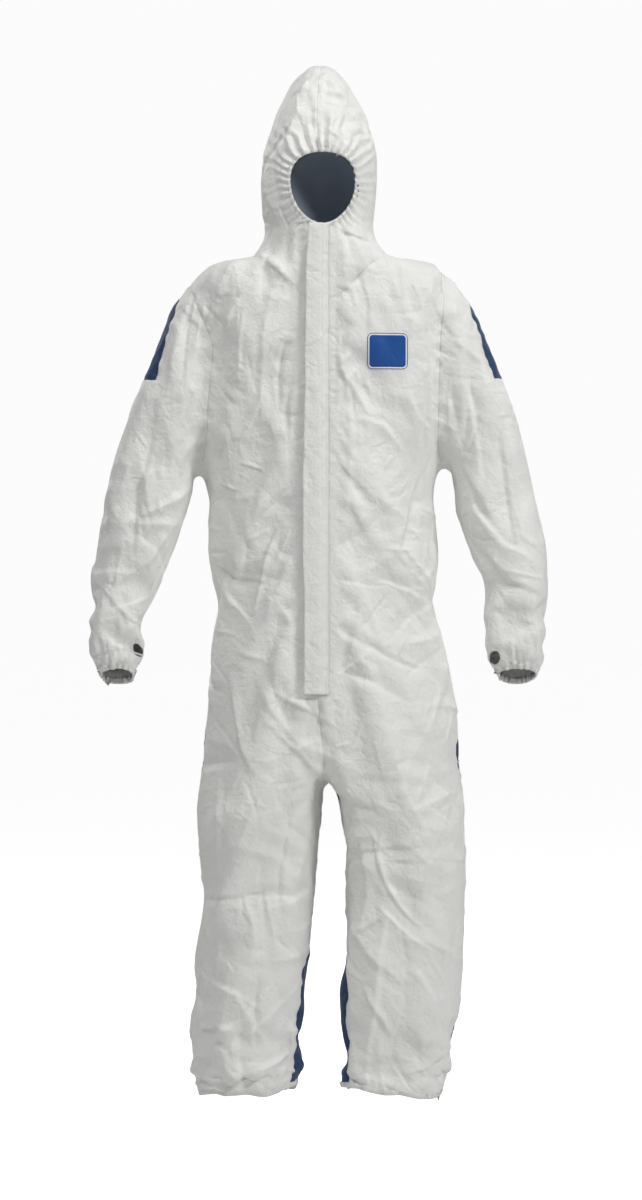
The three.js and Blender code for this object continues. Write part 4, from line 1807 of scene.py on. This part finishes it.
def rim_bands() -> list[RimBand]:
    """The bands of every opening.

    Returns:
        The face, cuff, ankle and thumb hole bands.
    """
    x, height = FACE_CENTRE
    bands = [RimBand("face_hem", (x, -0.1, level(height)), 0.006, "hood", ("face_elastic",),
                     bulge=0.0018)]
    for side in Side:
        s, out = side.word, side.value
        bands.append(RimBand(f"{s}_cuff_hem", (CUFF_X * out, CUFF_Y, level(690)), 0.011,
                             f"{s}_forearm", (f"{s}_wrist_elastic",)))
        bands.append(RimBand(f"{s}_ankle_hem", (0.13 * out, 0.0, level(-60)), 0.009,
                             f"{s}_shin", (f"{s}_ankle_elastic",), bulge=0.0016))
        (hx, hh), _ = THUMB_HOLES[side]
        bands.append(RimBand(f"{s}_thumb_hole_edge", (hx, -0.05, level(hh)), 0.0022,
                             f"{s}_forearm", (), 60, 0.0006, "thread", "white_nonwoven"))
    return bands


def add_rims(wardrobe: Wardrobe) -> None:
    """Makes every band on the free edge nearest to it.

    Args:
        wardrobe: The finished skin, with its materials.
    """
    loops = wardrobe.rim_loops()
    middles = [wardrobe.skin.base[loop].mean(axis=0) for loop in loops]
    for band in rim_bands():
        gaps = [np.linalg.norm(m - np.array(band.centre)) for m in middles]
        band.build(wardrobe, loops[int(np.argmin(gaps))])


@dataclass(frozen=True)
class StormFlap:
    """The strip that covers the zip, stitched down along the wearer's left of it."""

    stitched_x: float = FLAP_EDGE_X
    free_x: float = -0.028
    stitch_share: float = 0.16  # where the stitches run, from the stitched edge to the free one
    hem_share: float = 0.86
    bottom: float = 700.0
    top: float = 1514.0
    root: float = 0.0014  # how far the stitched edge stands off the front
    lift: float = 0.0070
    crinkle: float = 0.0030
    thick: float = 0.0012
    tongue: float = 0.0017  # how far the stitched edge reaches back into its seat
    rows: int = 300
    across: int = 13

    def _ring(self, height: float) -> Array:
        """The strip's section at one height.

        Args:
            height: Millimetres above the ankle hem.

        Returns:
            The section's points in order.
        """
        z = level(height)
        spots = np.array([(0.0, 0.0, height / 1000)])
        wave = float(grain(spots, 0.09, 21)[0])
        drift = float(np.interp(height, (700, 1090, 1440, 1519), (-0.0005, -0.002, 0.004, 0.009)))
        free = self.free_x + drift + 0.0028 * wave
        share = np.linspace(0, 1, self.across)
        xs = self.stitched_x + (free - self.stitched_x) * share
        rise = self.root + self.lift * ramp(share, 0.02, 0.36)
        spread = np.column_stack([xs, 0 * xs, 0 * xs + z])
        crease = self.crinkle * np.abs(grain(spread, 0.034, 22, (1, 1, 2.2)))
        hem = -0.0007 * np.exp(-(((share - self.hem_share) / 0.03) ** 2))
        seam = -0.0011 * np.exp(-(((share - self.stitch_share) / 0.05) ** 2))
        lifted = rise + 0.0012 * np.sin(share * math.pi) + crease * share + hem + seam
        lifted += 0.0022 * float(grain(spots, 0.06, 23)[0]) * share ** 2
        front = float(front_line(height)) - lifted
        outer = np.column_stack([xs, front, np.full(self.across, z)])
        inner = outer[::-1] + [0, self.thick, 0]
        edge = np.array([[free - 0.0007, front[-1] + self.thick / 2, z]])
        heel = np.array([[self.stitched_x + 0.0002, float(front_line(height)) + self.tongue, z]])
        return np.vstack([outer, edge, inner, heel])

    def build(self, wardrobe: Wardrobe) -> None:
        """Sweeps the strip up the front.

        Args:
            wardrobe: The finished skin, with its materials.
        """
        levels = np.linspace(self.bottom, self.top, self.rows)
        rings = [self._ring(h)[::-1] for h in levels]
        points, faces = tube(rings)
        obj = new_object("storm_flap_cloth", points, faces)
        stitch_x = self.stitched_x + (self.free_x - self.stitched_x) * self.stitch_share
        gap = np.abs(np.abs(points[:, 0] - stitch_x) - 0.0002) + 0.0012
        wardrobe.dress(obj, points, gap, "white")
        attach(obj, "flap")
        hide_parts("storm_flap")
        LOG.info("storm flap: %d rows", self.rows)


def boxes(centres: Array, size: Sequence[float]) -> tuple[Array, Faces]:
    """Small boxes of one size with cut corners, one at each centre.

    Args:
        centres: One row per box, in metres.
        size: The boxes' lengths along x, y and z, in metres.

    Returns:
        The points, and the faces as tuples of point numbers.
    """
    corner = np.array([(x, y, z) for z in (-1, 1) for x, y in
                       ((-1, -0.6), (-0.6, -1), (0.6, -1), (1, -0.6),
                        (1, 0.6), (0.6, 1), (-0.6, 1), (-1, 0.6))]) * np.array(size) / 2
    points = (centres[:, None, :] + corner[None]).reshape(-1, 3)
    faces = []
    for k in range(len(centres)):
        a = k * 16
        faces += [(a + i, a + (i + 1) % 8, a + 8 + (i + 1) % 8, a + 8 + i) for i in range(8)]
        faces += [tuple(a + i for i in reversed(range(8))), tuple(a + 8 + i for i in range(8))]
    return points, faces


@dataclass(frozen=True)
class ZipSide:
    """One tape of the zip with its row of teeth."""

    side: Side
    inner_x: float
    outer_x: float
    bottom: float = 713.0
    top: float = 1500.0
    pitch: float = 3.0
    sunk: float = 0.0024
    thick: float = 0.0006
    tooth: tuple[float, float, float] = (0.0046, 0.0022, 0.0013)
    columns: int = 6

    def build(self, wardrobe: Wardrobe) -> None:
        """Makes the tape and the teeth as one piece each.

        Args:
            wardrobe: The finished skin, with its materials.
        """
        s = self.side.word
        xs = np.linspace(self.inner_x, self.outer_x, self.columns)
        rings = []
        for height in np.linspace(self.bottom, self.top, 120):
            y = float(front_line(height)) + self.sunk
            face = np.column_stack([xs, np.full(len(xs), y), np.full(len(xs), level(height))])
            rings.append(np.vstack([face, face[::-1] + [0, self.thick, 0]]))
        points, faces = tube(rings)
        tape = new_object(f"{s}_zip_tape_cloth", points, faces)
        wardrobe.plain(tape, points, "tape")
        phase = 0.0 if self.side is Side.RIGHT else self.pitch / 2
        levels = np.arange(self.bottom + 8 + phase, self.top - 8, self.pitch)
        x = self.inner_x + 0.0004 * -self.side.value
        middles = np.column_stack([
            np.full(len(levels), x), front_line(levels) + self.sunk,
            [level(h) for h in levels],
        ])
        flat, sides = boxes(middles, self.tooth)
        teeth = new_object(f"{s}_zip_teeth", flat, sides)
        wardrobe.plain(teeth, flat, "plastic")
        for obj in (tape, teeth):
            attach(obj, "body")
        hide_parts(f"{s}_zip_tape")
        LOG.info("%s zip tape: %d teeth", s, len(levels))


@dataclass(frozen=True)
class LabelPatch:
    """A plain patch with a light border, sewn to the chest."""

    x: float = LABEL_CENTRE[0]
    height: float = LABEL_CENTRE[1]
    width: float = 0.070
    tall: float = 0.062
    corner: float = 0.009
    proud: float = 0.0009
    border: tuple[float, float] = (0.0012, 0.0036)

    def _outside(self, u: Array, v: Array) -> Array:
        """The distance outside the patch's outline, in metres.

        Args:
            u: The distance of each point from the middle across, in metres.
            v: The distance of each point from the middle upwards, in metres.

        Returns:
            One distance per point, and less than 0 inside.
        """
        a = np.abs(u) - (self.width / 2 - self.corner)
        b = np.abs(v) - (self.tall / 2 - self.corner)
        past = np.hypot(np.maximum(a, 0), np.maximum(b, 0))
        return past + np.minimum(np.maximum(a, b), 0) - self.corner

    def build(self, wardrobe: Wardrobe) -> None:
        """Lays the patch on the chest, and rides it on the body.

        Args:
            wardrobe: The finished skin, with its materials.
        """
        turn = np.linspace(0, 2 * math.pi, 96, endpoint=False)
        way = np.column_stack([np.cos(turn), np.sin(turn)])
        reach = np.full(len(turn), 0.02)
        for _ in range(40):
            reach -= self._outside(way[:, 0] * reach, way[:, 1] * reach)
        shares = np.concatenate([np.linspace(0.08, 0.86, 16), np.linspace(0.875, 1.0, 11), [1.004]])
        rows = [way * (reach * share)[:, None] for share in shares]
        flat = np.vstack(rows + [np.zeros((1, 2))])
        places = []
        for u, v in flat:
            near = [wardrobe.front(self.x + u + du, level(self.height) + v + dv)
                    for du in (-0.004, 0, 0.004) for dv in (-0.004, 0, 0.004)]
            y = sum(p.y for p in near) / len(near)
            places.append((self.x + u, y - self.proud, level(self.height) + v))
        points = np.array(places)
        edge = np.repeat(shares > 1.001, 96)
        points[:-1][edge, 1] += self.proud * 1.4
        around = len(turn)
        faces = [(r * around + k, (r + 1) * around + k, (r + 1) * around + (k + 1) % around,
                  r * around + (k + 1) % around)
                 for r in range(len(shares) - 1) for k in range(around)]
        middle = len(points) - 1
        faces += [(middle, k, (k + 1) % around) for k in range(around)]
        obj = new_object("label_patch_film", points, faces)
        wardrobe.plain(obj, points, "label")
        obj.data.materials.append(wardrobe.materials["label_edge"])
        inside = -self._outside(flat[:, 0], flat[:, 1])
        for polygon in obj.data.polygons:
            ring = np.mean([inside[i] for i in polygon.vertices])
            polygon.material_index = int(self.border[0] < ring < self.border[1])
        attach(obj, "body")
        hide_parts("label_patch")
        LOG.info("label patch: %d points", len(points))


@dataclass(frozen=True)
class HoodShadeBowl:
    """A dark bowl behind the face opening: painted shade that stands for the shadowed inside of the
    hood.
    """

    front_y: float = -0.086
    depth: float = 0.085
    rings: int = 20
    around: int = 64

    def build(self, wardrobe: Wardrobe) -> None:
        """Makes a deep bowl behind the opening.

        Args:
            wardrobe: The finished skin, with its materials.
        """
        x, height = FACE_CENTRE
        turn = np.linspace(0, 2 * math.pi, self.around, endpoint=False)
        loops = []
        for t in np.linspace(0, 1, self.rings):
            bulge = 1.07 + 0.16 * math.sin(math.pi * min(1, t * 1.4))
            size = bulge * math.sqrt(max(1 - t ** 2.6, 1e-4))
            loops.append(np.column_stack([
                x + FACE_RADII[0] * size * np.cos(turn),
                np.full(self.around, self.front_y + self.depth * t),
                level(height) + FACE_RADII[1] * size * np.sin(turn),
            ]))
        points, faces = tube(loops, capped=False)
        # painted shade: the bowl is dark where the real hood's inside is only in shadow
        obj = new_object("hood_painted_shade_bowl", points, [f[::-1] for f in faces])
        wardrobe.plain(obj, points, "painted_hood_shade")
        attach(obj, "hood")
        LOG.info("hood inside: %d points", len(points))


@dataclass(frozen=True)
class WaistElastic:
    """The elastic tape sewn inside the back of the waist."""

    height: float = WAIST_HEIGHT
    width: float = 0.018
    sink: float = 0.0075
    thick: float = 0.0008
    ends: tuple[float, float] = (-0.178, 0.188)

    def build(self, wardrobe: Wardrobe) -> None:
        """Follows the back of the suit from side to side, inside the cloth.

        Args:
            wardrobe: The finished skin, with its materials.
        """
        spots = []
        for x in np.linspace(*self.ends, 70):
            hit = wardrobe.tree.ray_cast(Vector((x, 1, level(self.height))), Vector((0, -1, 0)))
            place, out = hit[0], hit[1]
            if place is not None:
                inward = -out if out.y > 0 else out
                spots.append(np.array(place + inward * self.sink))
        middle = np.array(spots)
        for _ in range(6):
            middle[1:-1] = (middle[:-2] + middle[1:-1] * 2 + middle[2:]) / 4
        half = np.array([0, 0, self.width / 2])
        deep = np.array([0, -self.thick, 0])
        rings = [np.array([p - half, p + half, p + half + deep, p - half + deep]) for p in middle]
        points, faces = tube(rings)
        obj = new_object("waist_elastic_tape", points, faces)
        wardrobe.plain(obj, points, "elastic")
        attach(obj, "body")
        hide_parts("waist_elastic")
        LOG.info("waist elastic: %d points", len(points))


def dress_hardware(wardrobe: Wardrobe) -> None:
    """Gives the CAD slider, pull and stops their finish and soft edges.

    Args:
        wardrobe: The finished skin, with its materials.
    """
    for name in ("zip_slider", "zip_pull", "right_top_stop", "left_top_stop", "bottom_stop"):
        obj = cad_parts[name]
        obj.data.materials.clear()
        obj.data.materials.append(wardrobe.materials["plastic"])
        soft = obj.modifiers.new("soft_edges", "BEVEL")
        soft.width = 0.0002
        soft.segments = 2


# ---------------------------------------------------------------- studio


@dataclass(frozen=True)
class Studio:
    """A pale floor and sky, soft lights and the camera."""

    floor_z: float = -1.60
    distance: float = 8.0
    middle_z: float = -0.591
    tall: float = 2.1
    reach: float = 60.0
    sky_light: float = 0.11
    sky_shown: float = 0.97

    def floor(self) -> None:
        """Makes the pale floor, which reaches far behind the camera on every side."""
        half = self.reach
        corners = np.array([(x, y, self.floor_z) for x, y in
                            ((-half, -half), (half, -half), (half, half), (-half, half))])
        ground = new_object("floor", corners, [(0, 1, 2, 3)])
        paper = bpy.data.materials.new("floor_paper")
        paper.use_nodes = True
        n = Nodes(paper.node_tree)
        out, skin = n.add("OutputMaterial"), n.add("BsdfPrincipled")
        tone = n.add("TexNoise", scale=1.5, detail=2.0)
        mix = n.add("Mix", data_type="RGBA")
        mix.inputs["A"].default_value = (0.90, 0.90, 0.90, 1)
        mix.inputs["B"].default_value = (0.92, 0.92, 0.92, 1)
        n.link(tone.outputs["Fac"], mix.inputs["Factor"])
        n.link(mix.outputs["Result"], skin.inputs["Base Color"])
        skin.inputs["Roughness"].default_value = 0.95
        skin.inputs["Emission Color"].default_value = (1, 1, 1, 1)
        n.link(n.maths("MULTIPLY", n.add("LightPath").outputs["Is Camera Ray"], 0.87),
               skin.inputs["Emission Strength"])
        n.link(skin.outputs[0], out.inputs["Surface"])
        ground.data.materials.append(paper)

    def lights(self) -> None:
        """Hangs soft boxes above, in front, behind and at both sides."""
        spots = (
            ("key", (3.7, -3.0, 2.3), 1.4, 148),
            ("fill", (-4.4, -3.0, 0.2), 2.6, 26),
            ("top", (-0.5, -1.3, 2.9), 1.2, 54),
            ("front", (0.6, -6.5, 1.2), 1.5, 18),
            ("rear_right", (-3.6, 4.6, 2.0), 2.6, 75),
            ("rear_left", (3.6, 4.6, 2.0), 2.6, 60),
        )
        for name, place, size, power in spots:
            lamp = bpy.data.lights.new(name, "AREA")
            lamp.shape, lamp.size, lamp.energy = "SQUARE", size, power
            holder = bpy.data.objects.new(name, lamp)
            holder.location = place
            aim = Vector((0, 0, -0.5)) - Vector(place)
            holder.rotation_euler = aim.to_track_quat("-Z", "Y").to_euler()
            bpy.context.scene.collection.objects.link(holder)
        world = bpy.data.worlds.new("pale")
        world.use_nodes = True
        n = Nodes(world.node_tree)
        sky, out = n.add("Background"), n.add("OutputWorld")
        sky.inputs["Color"].default_value = (1, 1, 1, 1)
        seen = n.maths("MULTIPLY", n.add("LightPath").outputs["Is Camera Ray"],
                       self.sky_shown - self.sky_light)
        n.link(n.maths("ADD", seen, self.sky_light), sky.inputs["Strength"])
        n.link(sky.outputs[0], out.inputs["Surface"])
        bpy.context.scene.world = world
        bpy.context.scene.view_settings.view_transform = "Standard"

    def camera(self) -> None:
        """Looks level at the front of the suit."""
        lens = bpy.data.cameras.new("front")
        lens.sensor_fit = "VERTICAL"
        lens.sensor_height = 24.0
        lens.lens = 24.0 * self.distance / self.tall
        holder = bpy.data.objects.new("front", lens)
        holder.location = (0, -self.distance, self.middle_z)
        holder.rotation_euler = (math.pi / 2, 0, 0)
        bpy.context.scene.collection.objects.link(holder)
        bpy.context.scene.camera = holder


def spacing(places: Array) -> Array:
    """The longest edge wanted at each place: finer at edges and gathers.

    Args:
        places: One row per point, in metres.

    Returns:
        One length per place, in metres.
    """
    height = heights(places)
    want = np.where(places[:, 1] < 0.02, 0.0052, 0.0064)
    face = face_gap(places) + (places[:, 1] > -0.03) * FAR
    want[face < 0.055] = 0.0026
    want[on_arm(places) & (height < 800)] = 0.0030
    want[height < 45] = 0.0034
    return want


def main() -> None:
    """Builds every piece in order, then the studio."""
    form = Form()
    form.join()
    LOG.info("form: %d vertices", len(form.points))
    skin = form.surface()
    LOG.info("hung skin: %d vertices", len(skin.points))
    skin.refine(spacing)
    lines = pattern_lines()
    for line in lines:
        skin.slit(line.value, line.within)
    skin.keep(inside_cloth(skin.centres()))
    LOG.info("cut skin: %d vertices, %d triangles", len(skin.points), len(skin.triangles))
    groups = Groups()
    materials = {key: finish.build(groups) for key, finish in FINISHES.items()}
    wardrobe = Wardrobe(skin, Relief(lines), materials)
    wardrobe.raise_relief()
    wardrobe.panels()
    add_rims(wardrobe)
    StormFlap().build(wardrobe)
    for side, (inner, outer) in ZIP_TAPES.items():
        ZipSide(side, inner, outer).build(wardrobe)
    LabelPatch().build(wardrobe)
    HoodShadeBowl().build(wardrobe)
    WaistElastic().build(wardrobe)
    dress_hardware(wardrobe)
    studio = Studio()
    studio.floor()
    studio.lights()
    studio.camera()


if __name__ == "__main__":
    main()
